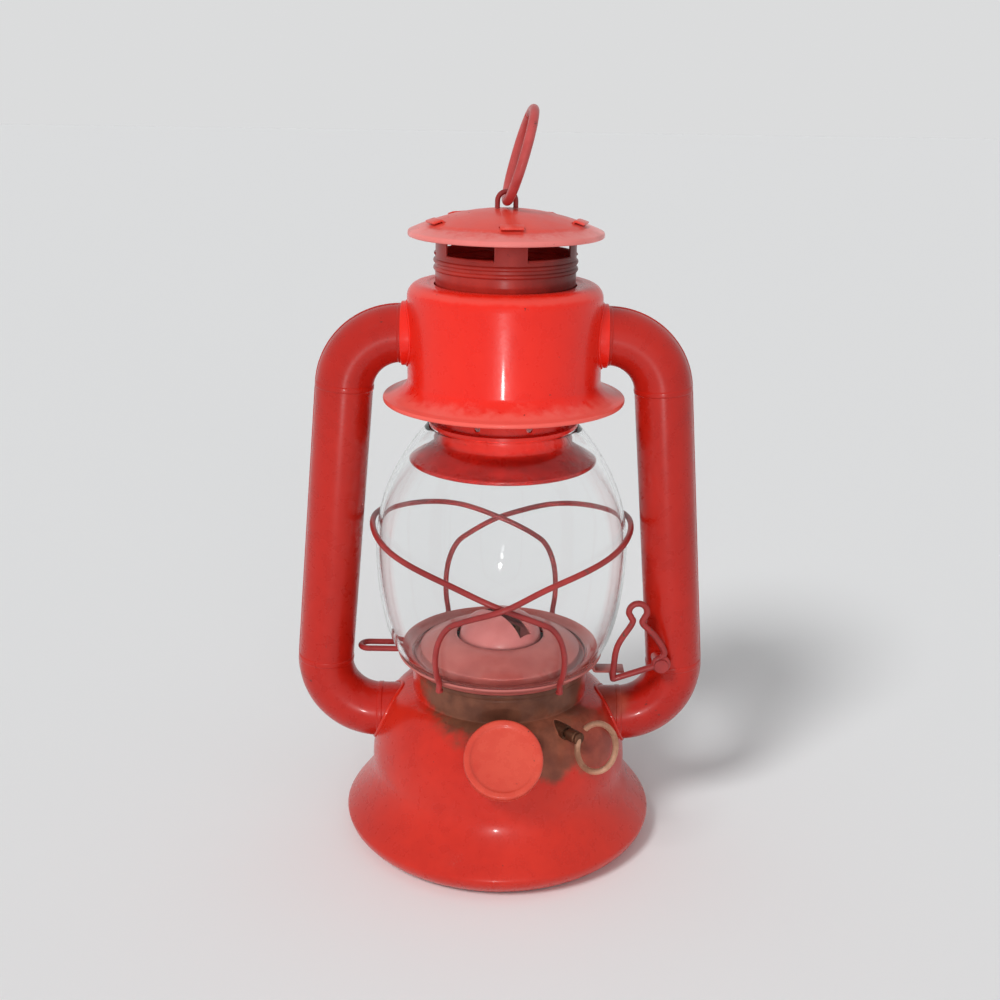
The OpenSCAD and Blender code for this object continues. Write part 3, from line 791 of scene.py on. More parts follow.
DRIFT = Effect("slow drift", (("Scale", 20.0), ("Stretch", (1.0, 1.0, 1.0))), "Tone", wire_drift)
FLECKS = Effect("paint flecks", (("Scale", 400.0), ("Share", 0.1)), "Mask", wire_flecks)
RIM = Effect("rim wear and sheen", (("Radius", 0.03), ("Height", 0.0), ("Reach", 0.002), ("Break", 1.0)),
             "Mask", wire_rim)
PATCH = Effect("patch", (("Centre", (0.0, 0.0, 0.0)), ("Reach", (0.1, 0.1, 0.1)), ("Break", 0.6),
                         ("Soft", 0.0)), "Mask", wire_patch)
PEEL = Effect("paint peel", (("Scale", 700.0), ("Fine", 0.2), ("Wave", 1.0)), "Height", wire_peel)
WEAVE = Effect("plain weave", (("Threads", (900.0, 900.0, 900.0)),), "Height", wire_weave)

# Sizes of the paint's marks, in waves a metre, and how much paler a patch gets in its lighter clouds
SLOW = 26.0
FINE = 210.0
CLOUD = 120.0
CHIPS = 520.0
SPRAY = 850.0
PALER = 1.7


@dataclass(frozen=True)
class Finish:
    """A finish that builds its material once."""

    name: str

    def material(self) -> bpy.types.Material:
        """Finds the finish's material or builds it.

        Returns:
            The material.
        """
        found = bpy.data.materials.get(self.name)
        if found:
            return found
        made = bpy.data.materials.new(self.name)
        made.use_nodes = True
        made.node_tree.nodes.clear()
        board = Board(made.node_tree)
        output = board.add("OutputMaterial")
        board.feed(output.inputs["Surface"], self.surface(board))
        return made

    def surface(self, board: Board) -> Socket:
        """Wires the shader; each kind of finish has its own."""
        raise NotImplementedError

    def principled(self, board: Board, **values: object) -> Socket:
        """A Principled shader with these sockets, underscores standing for spaces.

        Args:
            board: The material's board.
            values: Values or sockets by name.

        Returns:
            The shader.
        """
        node = board.add("BsdfPrincipled")
        for key, value in values.items():
            board.feed(node.inputs[key.replace("_", " ")], value)
        return node.outputs[0]

    def bump(self, board: Board, height: object, strength: float, depth: float) -> Socket:
        """A bump of this depth in millimetres.

        Args:
            board: The material's board.
            height: The height to follow.
            strength: How much of it shows.
            depth: Depth at full height.

        Returns:
            The bent normal.
        """
        node = board.add("Bump")
        for key, value in {"Strength": strength, "Distance": depth * MM, "Height": height}.items():
            board.feed(node.inputs[key], value)
        return node.outputs[0]


@dataclass(frozen=True)
class Rim:
    """A round edge painted paler, in millimetres: worn paint, and on the crown also painted sheen."""

    radius: float
    height: float
    reach: float = 1.6
    amount: float = 0.5


@dataclass(frozen=True)
class Patch:
    """A painted patch, in millimetres: painted shade where it is dark, painted glare where it is pale."""

    centre: tuple[float, float, float]
    reach: tuple[float, float, float]
    colour: Colour
    amount: float = 0.9
    torn: float = 0.7
    dull: float = 0.3
    soft: float = 0.0


@dataclass(frozen=True)
class Enamel(Finish):
    """Glossy paint on pressed sheet, with drift of tone, peel, chips, paler rims (worn paint, on the crown
    partly painted sheen) and patches of painted shade and glare.
    """

    colour: Colour = srgb(232, 30, 16)
    deep: Colour = srgb(206, 16, 10)
    thin_and_sheen: Colour = srgb(238, 120, 108)
    bare: Colour = srgb(96, 40, 34)
    gloss: float = 0.26
    coat: float = 0.15
    shine: float = 0.3
    rims: tuple[Rim, ...] = ()
    patches: tuple[Patch, ...] = ()
    chips: float = 0.1
    wave: float = 0.8

    def surface(self, board: Board) -> Socket:
        """Wires the paint.

        Args:
            board: The material's board.

        Returns:
            The shader's output.
        """
        drift = board.group(DRIFT, Scale=SLOW)
        fine = board.group(DRIFT, Scale=FINE)
        tone = board.plus(board.times(drift, 0.75), board.times(fine, 0.25))
        colour = board.mix(tone, self.deep, self.colour)
        rough = board.plus(self.gloss, board.times(fine, 0.07))
        # Rims paint edges paler: worn paint, and on the crown partly painted sheen.
        for rim in self.rims:
            mask = board.group(RIM, Radius=rim.radius * MM, Height=rim.height * MM, Reach=rim.reach * MM,
                               Break=1.1)
            share = board.times(mask, rim.amount)
            colour = board.mix(share, colour, self.thin_and_sheen)
            rough = board.plus(rough, board.times(share, 0.15))
        # Patches paint shade and glare into the colour.
        for patch in self.patches:
            centre, reach = (tuple(c * MM for c in size) for size in (patch.centre, patch.reach))
            mask = board.group(PATCH, Centre=centre, Reach=reach, Break=patch.torn, Soft=patch.soft)
            share = board.times(mask, patch.amount)
            pale = tuple(c * PALER for c in patch.colour[:3]) + (1.0,)
            patch_tone = board.mix(board.group(DRIFT, Scale=CLOUD), patch.colour, pale)
            colour = board.mix(share, colour, patch_tone)
            rough = board.plus(rough, board.times(share, patch.dull))
        chip = board.group(FLECKS, Scale=CHIPS, Share=self.chips)
        colour = board.mix(chip, colour, self.bare)
        rough = board.plus(rough, board.times(chip, 0.3))
        peel = board.group(PEEL, Scale=SPRAY, Fine=0.12, Wave=self.wave)
        height = board.minus(peel, board.times(chip, 0.5))
        return self.principled(board, Base_Color=colour, Roughness=rough, Coat_Weight=self.coat,
                               Coat_Roughness=0.08, Specular_IOR_Level=self.shine,
                               Normal=self.bump(board, height, 0.35, 0.5))


@dataclass(frozen=True)
class Glass(Finish):
    """Clear blown glass with faint ripples; lamps shine through it."""

    tint: Colour = (0.995, 1.0, 1.0, 1.0)

    def surface(self, board: Board) -> Socket:
        """Wires the glass.

        Args:
            board: The material's board.

        Returns:
            The shader's output.
        """
        height = board.group(PEEL, Scale=60.0, Fine=0.5, Wave=1.0)
        clear = self.principled(board, Base_Color=self.tint, Roughness=0.015, IOR=1.25,
                                Transmission_Weight=1.0, Normal=self.bump(board, height, 0.12, 0.6))
        through = board.add("BsdfTransparent", self.tint).outputs[0]
        shade = board.add("LightPath").outputs["Is Shadow Ray"]
        return board.add("MixShader", shade, clear, through).outputs[0]


@dataclass(frozen=True)
class Metal(Finish):
    """Bare or tarnished metal with a drawn or rolled grain."""

    colour: Colour = srgb(190, 186, 178)
    tarnish: Colour = srgb(112, 100, 84)
    spread: float = 0.5
    gloss: float = 0.3
    grain: tuple[float, float, float] = (1.0, 1.0, 0.1)

    def surface(self, board: Board) -> Socket:
        """Wires the metal.

        Args:
            board: The material's board.

        Returns:
            The shader's output.
        """
        cloud = board.group(DRIFT, Scale=150.0)
        lines = board.group(DRIFT, Scale=1500.0, Stretch=self.grain)
        old = board.times(cloud, self.spread)
        spots = board.group(FLECKS, Scale=700.0, Share=0.14)
        colour = board.mix(board.math("MAXIMUM", old, spots), self.colour, self.tarnish)
        rough = board.plus(board.plus(self.gloss, board.times(old, 0.3)), board.times(lines, 0.08))
        bright = board.ramp(spots, 0.0, 1.0, 0.95, 0.4)
        return self.principled(board, Base_Color=colour, Roughness=rough, Metallic=bright,
                               Normal=self.bump(board, lines, 0.2, 0.05))


@dataclass(frozen=True)
class Cotton(Finish):
    """Plain woven cotton, charred towards its top."""

    colour: Colour = srgb(226, 214, 190)
    char_from: float = 80.0
    char_to: float = 84.2
    fray: float = 1.5

    def surface(self, board: Board) -> Socket:
        """Wires the cloth.

        Args:
            board: The material's board.

        Returns:
            The shader's output.
        """
        weave = board.group(WEAVE, Threads=(1150.0, 1150.0, 900.0))
        up = board.add("SeparateXYZ", board.place()).outputs[2]
        ragged = board.plus(up, board.times(board.noise(board.place(), 500.0), 2 * self.fray * MM))
        burnt = board.ramp(ragged, (self.char_from + self.fray) * MM, (self.char_to + self.fray) * MM)
        shade = board.mix(board.ramp(weave, 0.0, 1.6), srgb(168, 150, 122), self.colour)
        return self.principled(board, Base_Color=board.mix(burnt, shade, srgb(24, 20, 18)), Roughness=0.92,
                               Normal=self.bump(board, weave, 0.7, 0.25))


@dataclass(frozen=True)
class Rubber(Finish):
    """Matte gasket sheet with a fine granular face."""

    colour: Colour = srgb(38, 36, 34)

    def surface(self, board: Board) -> Socket:
        """Wires the rubber.

        Args:
            board: The material's board.

        Returns:
            The shader's output.
        """
        grain = board.group(DRIFT, Scale=1800.0)
        colour = board.mix(grain, self.colour, srgb(66, 60, 54))
        return self.principled(board, Base_Color=colour, Roughness=0.8,
                               Normal=self.bump(board, grain, 0.4, 0.08))


# Browns for painted shade: the dark cloud under the globe plate over the fount's collar and right shoulder,
# and at the right tube's foot, where shade and dark reflections fall.
PAINTED_SHADE = srgb(86, 53, 38)
PAINTED_SHADE_PALE = srgb(122, 60, 44)
# The fount's three patches paint shade under the globe plate on its collar and right shoulder.
FOUNT_RED = Enamel("fount enamel", colour=srgb(200, 42, 26), deep=srgb(183, 32, 18), wave=0.4, patches=(
    Patch((8.0, -34.0, 65.5), (46.5, 32.5, 16.8), PAINTED_SHADE, 0.97, 0.6, 0.34, 0.14),
    Patch((20.0, -44.0, 52.0), (19.0, 25.0, 13.5), srgb(108, 60, 44), 0.95, 0.7, 0.34, 0.18),
    Patch((37.0, -30.0, 49.0), (15.0, 21.0, 15.0), PAINTED_SHADE_PALE, 0.8, 0.9, 0.3, 0.25)))
LEFT_RED = Enamel("left tube enamel", colour=srgb(182, 31, 19), deep=srgb(166, 23, 12), wave=0.3)
# The right tube's patch paints shade at its foot, next to the fount's painted shade.
RIGHT_RED = Enamel("right tube enamel", colour=srgb(181, 31, 19), deep=srgb(165, 23, 12), wave=0.3, patches=(
    Patch((43.0, -9.0, 55.0), (10.0, 13.0, 9.0), PAINTED_SHADE_PALE, 0.6, 0.7, 0.3, 0.3),))
HOOD_RED = Enamel("hood enamel", colour=srgb(230, 38, 22), deep=srgb(221, 30, 16), wave=0.5,
                  rims=(Rim(44.0, 173.2, 10.0, 0.52), Rim(34.0, 213.8, 2.4, 0.2)))
# The crown's paler pink colour is partly painted sky reflection on its upturned face and partly dust; its
# wide rim fade is partly painted sheen and partly worn paint; the two pale end patches are painted glare.
CROWN_RED = Enamel("crown enamel", colour=srgb(226, 76, 62), deep=srgb(212, 56, 44), thin_and_sheen=srgb(232, 168, 164),
                   gloss=0.36, rims=(Rim(37.5, 232.0, 11.0, 0.42),), chips=0.12, patches=(
    Patch((-38.0, 0.0, 232.0), (20.0, 34.0, 12.0), srgb(214, 132, 130), 0.5, 0.2, 0.0, 0.75),
    Patch((38.0, 0.0, 232.0), (20.0, 34.0, 12.0), srgb(218, 150, 148), 0.6, 0.2, 0.0, 0.75)))
# The dark patch over the bell is painted shade under the hood; the tube's bright base colour paints light
# into the hood's shade.
CHIMNEY_RED = Enamel("chimney enamel", colour=srgb(238, 52, 38), deep=srgb(222, 38, 26), patches=(
    Patch((0.0, 0.0, 150.0), (60.0, 60.0, 9.5), srgb(136, 14, 8), 0.92, 0.1, 0.0, 0.15),))
# The dark patch on the neck's right side is painted shade.
NECK_RED = Enamel("neck enamel", colour=srgb(176, 48, 38), deep=srgb(142, 30, 25), gloss=0.3, patches=(
    Patch((27.0, -14.0, 222.0), (28.0, 34.0, 24.0), srgb(60, 20, 18), 0.85, 0.5, 0.2, 0.7),))
PLATE_RED = Enamel("plate enamel", colour=srgb(182, 100, 92), deep=srgb(160, 76, 70),
                   thin_and_sheen=srgb(206, 130, 124), gloss=0.34, rims=(Rim(39.0, 74.0, 1.6, 0.35),), chips=0.12)
DOME_RED = Enamel("burner enamel", colour=srgb(188, 112, 108), deep=srgb(168, 88, 84), gloss=0.3)
CAP_RED = Enamel("filler enamel", colour=srgb(208, 78, 60), deep=srgb(194, 56, 42), gloss=0.24)
WIRE_RED = Enamel("wire enamel", colour=srgb(164, 54, 52), deep=srgb(124, 36, 36), bare=srgb(92, 70, 62),
                  gloss=0.34, chips=0.16, wave=0.2)
RING_RED = Enamel("ring enamel", colour=srgb(204, 92, 90), deep=srgb(172, 60, 58), bare=srgb(92, 60, 54),
                  gloss=0.34, chips=0.14, wave=0.2)
GLOBE_GLASS = Glass("globe glass")
OLD_BRASS = Metal("old brass", colour=srgb(186, 136, 104), tarnish=srgb(132, 92, 70), spread=0.7, gloss=0.4)
DULL_BRASS = Metal("dull brass", colour=srgb(222, 178, 150), tarnish=srgb(188, 140, 114), spread=0.8,
                   gloss=0.55)
STAINED = Metal("stained steel", colour=srgb(124, 86, 66), tarnish=srgb(86, 54, 42), spread=0.8, gloss=0.5)
TINNED = Metal("tinned sheet", colour=srgb(176, 170, 160), tarnish=srgb(98, 88, 78), spread=0.7, gloss=0.38)
BRIGHT = Metal("bright wire", colour=srgb(196, 194, 190), tarnish=srgb(120, 104, 92), spread=0.35)
WICK_COTTON = Cotton("wick cotton")
GASKET_RUBBER = Rubber("gasket sheet")


# Sub-assemblies


@dataclass
class Fount:
    """Tank shell with its flared foot, waist, shoulder and air collar, and the filler neck on it."""

    base_r: float = 60.0
    rim_h: float = 8.0
    tuck: float = 6.0
    skirt_curve: float = 0.7
    waist_h: float = 28.0
    waist_r: float = 49.5
    dome_h: float = 30.0
    collar_r: float = 33.7
    collar_h: float = 11.4
    lip_w: float = 2.6
    sheet: float = 0.8
    tube_z: float = 46.4
    tube_r: float = 10.5
    filler_z: float = 48.0
    filler_tilt: float = 41.0
    filler_turn: float = 2.0
    neck_r: float = 11.0
    neck_len: float = 5.5
    spindle_z: float = 55.0
    spindle_y: float = -5.0
    spindle_turn: float = 43.0
    sleeve_r: float = 2.7

    def dome_r(self, z: float) -> float:
        """Radius of the shoulder at a height."""
        share = max(0.0, 1 - ((z - self.waist_h) / self.dome_h) ** 2)
        return self.collar_r + (self.waist_r - self.collar_r) * math.sqrt(share)

    def filler_place(self) -> Matrix:
        """The filler axis as the local Z."""
        root = placed(0, -self.dome_r(self.filler_z), self.filler_z)
        return turned(self.filler_turn, "Z") @ root @ turned(90 - self.filler_tilt, "X")

    def spindle_place(self) -> Matrix:
        """The spindle axis as the local Z, out towards the knob."""
        return turned(self.spindle_turn - 90, "Z") @ placed(0, self.spindle_y, self.spindle_z) @ SIDEWAYS

    def outline(self) -> list[Pair]:
        """The outside of the shell from the tucked foot up to the collar lip.

        Returns:
            (radius, height) pairs in millimetres.
        """
        stops = []
        for i in range(1, 24):
            f = 1 - i / 24
            stops.append(Stop(self.base_r - self.tuck * f * f, self.rim_h * (1 - f)))
        for i in range(49):
            g = (i / 48) ** self.skirt_curve
            fall = (self.base_r - self.waist_r) * (3 * g ** 2 - 2 * g ** 3)
            stops.append(Stop(self.base_r - fall, self.rim_h + (self.waist_h - self.rim_h) * i / 48))
        for i in range(1, 36):
            z = self.waist_h + self.dome_h * math.sin(QUARTER * i / 36)
            stops.append(Stop(self.dome_r(z), z))
        top = self.waist_h + self.dome_h
        lip = top + self.collar_h
        stops += [Stop(self.collar_r, top, 1.2), Stop(self.collar_r, lip - 2.6, 0.4),
                  Stop(self.collar_r - 0.3, lip - 2.2, 0.3), Stop(self.collar_r, lip - 1.7, 0.4),
                  Stop(self.collar_r, lip, 0.7), Stop(self.collar_r - self.lip_w, lip)]
        return rounded(stops)

    def seam_route(self, place: Matrix, radius: float) -> list[Vector]:
        """Where a round tube along the local Z of a place meets the shoulder.

        Args:
            place: The tube's axis.
            radius: The tube's radius.

        Returns:
            A closed loop of points.
        """
        route = []
        for i in range(64):
            a = TAU * i / 64
            low, high = -30.0, 40.0
            for _ in range(40):
                t = (low + high) / 2
                p = place @ around(radius, a, t)
                inside = math.hypot(p.x, p.y) < self.dome_r(p.z)
                low, high = (t, high) if inside else (low, t)
            route.append(place @ around(radius, a, low))
        return route

    def build(self) -> None:
        """Makes the shell, its solder beads and the threaded filler neck."""
        body = Bench.turn("fount", shell(self.outline(), self.sheet), 128)
        tube = placed(30, 0, self.tube_z) @ SIDEWAYS
        foot = Bench.drill("cut", self.tube_r + 0.12, 2.0, 30.0, tube)
        feet = [foot, Bench.copy(foot, ACROSS)]
        hole = Bench.drill("cut", self.neck_r + PLAY, -10.0, 10.0, self.filler_place())
        pass_through = Bench.drill("cut", self.sleeve_r + PLAY, 30.0, 60.0, self.spindle_place())
        Bench.cut(body, feet + [hole, pass_through])
        bead = Bench.wire("bead", self.seam_route(tube, self.tube_r + 0.1), 0.75, THIN, True)
        beads = [bead, Bench.copy(bead, ACROSS)]
        for place, radius, wire in ((self.filler_place(), self.neck_r + 0.1, 0.6),
                                    (self.spindle_place(), self.sleeve_r + PLAY, 0.45)):
            beads.append(Bench.wire("bead", self.seam_route(place, radius), wire, THIN, True))
        Bench.deliver(Bench.join([body] + beads), FOUNT_RED, Body.FRAME, Slot.RED, "fount_shell")
        self.build_neck()

    def build_neck(self) -> None:
        """Makes the filler neck with its rolled lip and thread."""
        bore = self.neck_r - 1.2
        root = -7.0
        line = rounded([Stop(bore, root), Stop(self.neck_r, root, 0.3), Stop(self.neck_r, self.neck_len, 0.5),
                        Stop(bore, self.neck_len, 0.5), Stop(bore, root)])
        neck = Bench.turn("filler_neck_thread", line, 72)
        turns, pitch = 1.45, 3.0
        count = 96
        helix = [around(self.neck_r - 0.02, TAU * turns * i / count, 0.5 + pitch * turns * i / count)
                 for i in range(count + 1)]
        piece = Bench.join([neck, Bench.wire("thread", helix, 0.24, THIN)])
        Bench.set_down(piece, self.filler_place())
        Bench.deliver(piece, CAP_RED, Body.FRAME, Slot.RED, "filler_neck")


@dataclass
class AirTube:
    """The side tubes: lower run, elbow, splayed upright, elbow and stub, with slip beads and a lap seam."""

    radius: float = 10.5
    bend_r: float = 21.0
    splay: float = 5.0
    low_x: float = 25.5
    high_x: float = 32.4
    bend_x: float = 37.1
    low_z: float = 46.4
    top_z: float = 196.2
    wall: float = 1.0

    def route(self) -> list[Vector]:
        """The centre line of the right-hand tube, from the drum to the hood.

        Returns:
            Points in millimetres.
        """
        low_bend = self.low_bend_x()
        line = [Vector((self.low_x, 0, self.low_z))]
        for i in range(25):
            a = math.radians(-90 + (90 + self.splay) * i / 24)
            x = low_bend + self.bend_r * math.cos(a)
            line.append(Vector((x, 0, self.low_z + self.bend_r * (1 + math.sin(a)))))
        for i in range(25):
            a = math.radians(self.splay + (90 - self.splay) * i / 24)
            x = self.bend_x + self.bend_r * math.cos(a)
            line.append(Vector((x, 0, self.top_z + self.bend_r * (math.sin(a) - 1))))
        return line + [Vector((self.high_x, 0, self.top_z))]

    def low_bend_x(self) -> float:
        """Where the lower elbow starts."""
        return self.bend_x + (self.top_z - self.low_z - 2 * self.bend_r) * math.tan(math.radians(self.splay))

    def pipe(self) -> Piece:
        """Extrudes and spins a ring of edges along the tube.

        Returns:
            The open pipe.
        """
        Bench.clear()
        bpy.ops.mesh.primitive_circle_add(vertices=64, radius=self.radius * MM, rotation=(0, QUARTER, 0),
                                          location=(self.low_x * MM, 0, self.low_z * MM))
        pipe = Bench.named("right_air_tube")
        bpy.ops.object.transform_apply(location=True, rotation=True, scale=True)
        low_bend = self.low_bend_x()
        rise = self.top_z - self.low_z - 2 * self.bend_r
        steps = 6
        bpy.ops.object.mode_set(mode="EDIT")
        bpy.ops.mesh.select_all(action="SELECT")
        Bench.push(low_bend - self.low_x, 0, 0)
        bpy.ops.mesh.spin(steps=28, angle=math.radians(90 + self.splay), axis=(0, 1, 0),
                          center=(low_bend * MM, 0, (self.low_z + self.bend_r) * MM))
        for _ in range(steps):
            Bench.push(-rise * math.tan(math.radians(self.splay)) / steps, 0, rise / steps)
        bpy.ops.mesh.spin(steps=28, angle=math.radians(90 - self.splay), axis=(0, 1, 0),
                          center=(self.bend_x * MM, 0, (self.top_z - self.bend_r) * MM))
        Bench.push(self.high_x - self.bend_x, 0, 0)
        Bench.weld()
        Bench.modify(pipe, "SOLIDIFY", thickness=self.wall * MM, offset=-1.0)
        return pipe

    def build(self) -> None:
        """Makes the right tube with its beads and seam, and copies it for the left."""
        line = self.route()
        edge = self.radius - 0.25
        crest = self.radius + 0.25
        bulge = rounded([Stop(edge, -1.3), Stop(crest, -0.9, 0.4), Stop(crest, 0.9, 0.4), Stop(edge, 1.3)])
        bead = Bench.turn("bead", shell(bulge, 0.3), 64)
        pieces = [self.pipe()]
        for index in (1, 25, 26, 50):
            ahead = (line[min(index + 1, len(line) - 1)] - line[index - 1]).normalized()
            turn = Vector((0, 0, 1)).rotation_difference(ahead).to_matrix().to_4x4()
            pieces.append(Bench.copy(bead, Matrix.Translation(line[index]) @ turn))
        bpy.data.objects.remove(bead)
        seam = []
        for i in range(1, len(line) - 1):
            inward = (line[i + 1] - line[i - 1]).cross(Vector((0, -1, 0))).normalized()
            seam.append(line[i] + inward * (self.radius - 0.15))
        pieces.append(Bench.wire("seam", seam, 0.5, THIN))
        right = Bench.join(pieces)
        left = Bench.copy(right, ACROSS)
        left.name = left.data.name = "left_air_tube"
        Bench.deliver(left, LEFT_RED, Body.FRAME, Slot.RED, "left_tube")
        Bench.deliver(right, RIGHT_RED, Body.FRAME, Slot.RED, "right_tube")


@dataclass
class Hood:
    """Hood with a flared, wired flange, a rounded top and the collars of the two tubes."""

    radius: float = 35.0
    low: float = 172.5
    top: float = 215.0
    flange_r: float = 44.0
    flare_h: float = 7.0
    round_r: float = 5.0
    mouth_r: float = 25.25
    sheet: float = 0.8
    tube_z: float = 196.2
    tube_r: float = 10.5
    stub: float = 2.1

    def outline(self) -> list[Pair]:
        """The outside from the rolled flange edge to the mouth in the top.

        Returns:
            (radius, height) pairs in millimetres.
        """
        stops = [Stop(self.flange_r - 1.6, self.low + 0.1), Stop(self.flange_r, self.low, 0.8),
                 Stop(self.flange_r, self.low + 1.6, 0.6)]
        for i in range(4, 29):
            f = i / 28
            flare = (self.flange_r - self.radius) * (1 - f) ** 2
            stops.append(Stop(self.radius + flare, self.low + 1 + self.flare_h * f))
        stops.append(Stop(self.radius, self.top - self.round_r - 0.4))
        for i in range(1, 13):
            a = QUARTER * i / 12
            stops.append(Stop(self.radius - self.round_r * (1 - math.cos(a)),
                              self.top - self.round_r * (1 - math.sin(a))))
        stops += [Stop(self.mouth_r + 2.6, self.top, 0.5), Stop(self.mouth_r + 1.8, self.top - 0.5, 0.5),
                  Stop(self.mouth_r + 0.1, self.top - 0.5, 0.4), Stop(self.mouth_r + 0.1, self.top - 1.6)]
        return rounded(stops)

    def build(self) -> None:
        """Makes the hood, its back seam, the tube collars and their solder beads."""
        body = Bench.turn("hood_shell", shell(self.outline(), self.sheet), 128)
        place = placed(0, 0, self.tube_z) @ SIDEWAYS
        entry = Bench.drill("cut", self.tube_r + PLAY, 20.0, 40.0, place)
        Bench.cut(body, [entry, Bench.copy(entry, ACROSS)])
        seam = [Vector((0.0, self.radius - 0.1, z)) for z in (self.low + 9, self.low + 20, self.top - 6)]
        whole = Bench.join([body, Bench.wire("seam", seam, 0.45, THIN)])
        Bench.deliver(whole, HOOD_RED, Body.FRAME, Slot.RED, "hood")
        bore, out = self.tube_r + PLAY, self.tube_r + 1.0
        start, end = 33.2, self.radius + self.stub
        line = rounded([Stop(bore, start), Stop(out, start), Stop(out, end, 0.5), Stop(bore, end),
                        Stop(bore, start)])
        collar = Bench.set_down(Bench.turn("tube_collars", line, 64), place)
        loop = []
        for p in circle_route(out, 0, 360, 64)[:-1]:
            x = math.sqrt((self.radius + 0.1) ** 2 - p.y ** 2)
            loop.append(Vector((x, p.y, self.tube_z + p.x)))
        right = Bench.join([collar, Bench.wire("bead", loop, 0.55, THIN, True)])
        pair = Bench.join([right, Bench.copy(right, ACROSS)])
        Bench.deliver(pair, HOOD_RED, Body.FRAME, Slot.RED, "hood_collars")


@dataclass
class CrownSpring:
    """Coil between the hood top and the globe seat, wound at one length; the real coil shortens as the globe
    rises.
    """

    radius: float = 26.3
    low: float = 165.6
    high: float = 213.35
    wire: float = 0.77
    curls: int = 5
    anchor: float = 0.2142
    lift: float = 13.0

    def build(self) -> None:
        """Winds the coil."""
        steps = 40
        route = []
        for i in range(self.curls * steps + 1):
            f = i / (self.curls * steps)
            route.append(around(self.radius, TAU * i / steps, self.low + (self.high - self.low) * f))
        coil = Bench.wire("crown_coil", route, self.wire, 10)
        Bench.deliver(coil, BRIGHT, Body.FRAME, Slot.STEEL, "crown_spring")
        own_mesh(coil)


@dataclass
class Globe:
    """Blown glass globe with a straight foot, round belly and fire-polished mouth."""

    low: float = 70.5
    top: float = 163.5
    belly_z: float = 115.0
    belly_r: float = 47.2
    belly_h: float = 43.0
    foot_r: float = 34.2
    mouth_r: float = 27.3
    wall: float = 1.6
    curve: float = 2.2

    def radius(self, z: float) -> float:
        """Outside radius at a height.

        Args:
            z: The height.

        Returns:
            The radius.
        """
        if z < self.belly_z:
            share = max(0.0, 1 - ((self.belly_z - z) / self.belly_h) ** 2)
            return self.foot_r + (self.belly_r - self.foot_r) * math.sqrt(share)
        share = (z - self.belly_z) / (self.top - self.belly_z)
        return self.belly_r - (self.belly_r - self.mouth_r) * share ** self.curve

    def build(self) -> None:
        """Turns the globe as one closed wall."""
        line = [(self.foot_r, self.low + 0.6), (self.foot_r, self.low + 1.1)]
        for i in range(31):
            a = QUARTER * i / 30
            r = self.foot_r + (self.belly_r - self.foot_r) * math.sin(a)
            line.append((r, self.belly_z - self.belly_h * math.cos(a)))
        for i in range(1, 31):
            z = self.belly_z + (self.top - 0.7 - self.belly_z) * i / 30
            line.append((self.radius(z), z))
        piece = Bench.turn("glass_globe", shell(line, self.wall), 128)
        Bench.deliver(piece, GLOBE_GLASS, Body.CARRIAGE, Slot.GLASS, "globe", angle=80.0)


@dataclass
class GlobePlate:
    """Lifting plate: gallery round the globe's foot, domed middle and the tab over the lever."""

    globe: Globe
    low: float = 69.7
    gallery_h: float = 4.5
    gap: float = 0.4
    rise: float = 9.5
    step_r: float = 31.0
    bore_r: float = 17.1
    sheet: float = 0.8
    tab_x: float = 43.2
    tab_y: float = -7.8
    tab_z: float = 68.4
    tab_w: float = 6.4

    def outline(self) -> list[Pair]:
        """The upper face from the gallery edge in to the bore.

        Returns:
            (radius, height) pairs in millimetres.
        """
        floor_z = self.low + self.sheet
        floor_r = self.globe.foot_r + self.gap
        stops = []
        for i in range(9):
            z = floor_z + 1.5 + (self.gallery_h - self.sheet - 1.5) * (1 - i / 8)
            stops.append(Stop(self.globe.radius(z) + self.gap, z))
        stops += [Stop(floor_r, floor_z, 0.6), Stop(self.step_r, floor_z, 0.5)]
        for i in range(17):
            f = i / 16
            z = floor_z + self.rise * (0.45 + 0.55 * math.sin(QUARTER * f))
            stops.append(Stop(self.step_r + (self.bore_r - self.step_r) * f, z, 0.6 if i == 0 else 0.0))
        return rounded(stops)

    def build(self) -> None:
        """Makes the plate and folds its tab."""
        plate = Bench.turn("globe_gallery", shell(self.outline(), self.sheet), 128)
        floor_z = self.low + self.sheet
        floor_r = self.globe.foot_r + self.gap
        root = math.sqrt(floor_r ** 2 - (self.tab_y - self.tab_w / 2) ** 2) - self.sheet / 2
        bend = floor_r + 2 * self.sheet
        tip_z = self.tab_z + self.sheet
        fold = rounded([Stop(root, floor_z), Stop(bend, floor_z, 0.6), Stop(bend, tip_z, 0.6),
                        Stop(self.tab_x + 4, tip_z)])
        tab = Bench.strip("tab", fold, self.tab_w, -self.sheet, 0.25)
        Bench.set_down(tab, placed(0, self.tab_y, 0))
        Bench.deliver(Bench.join([plate, tab]), PLATE_RED, Body.CARRIAGE, Slot.RED, "globe_plate")


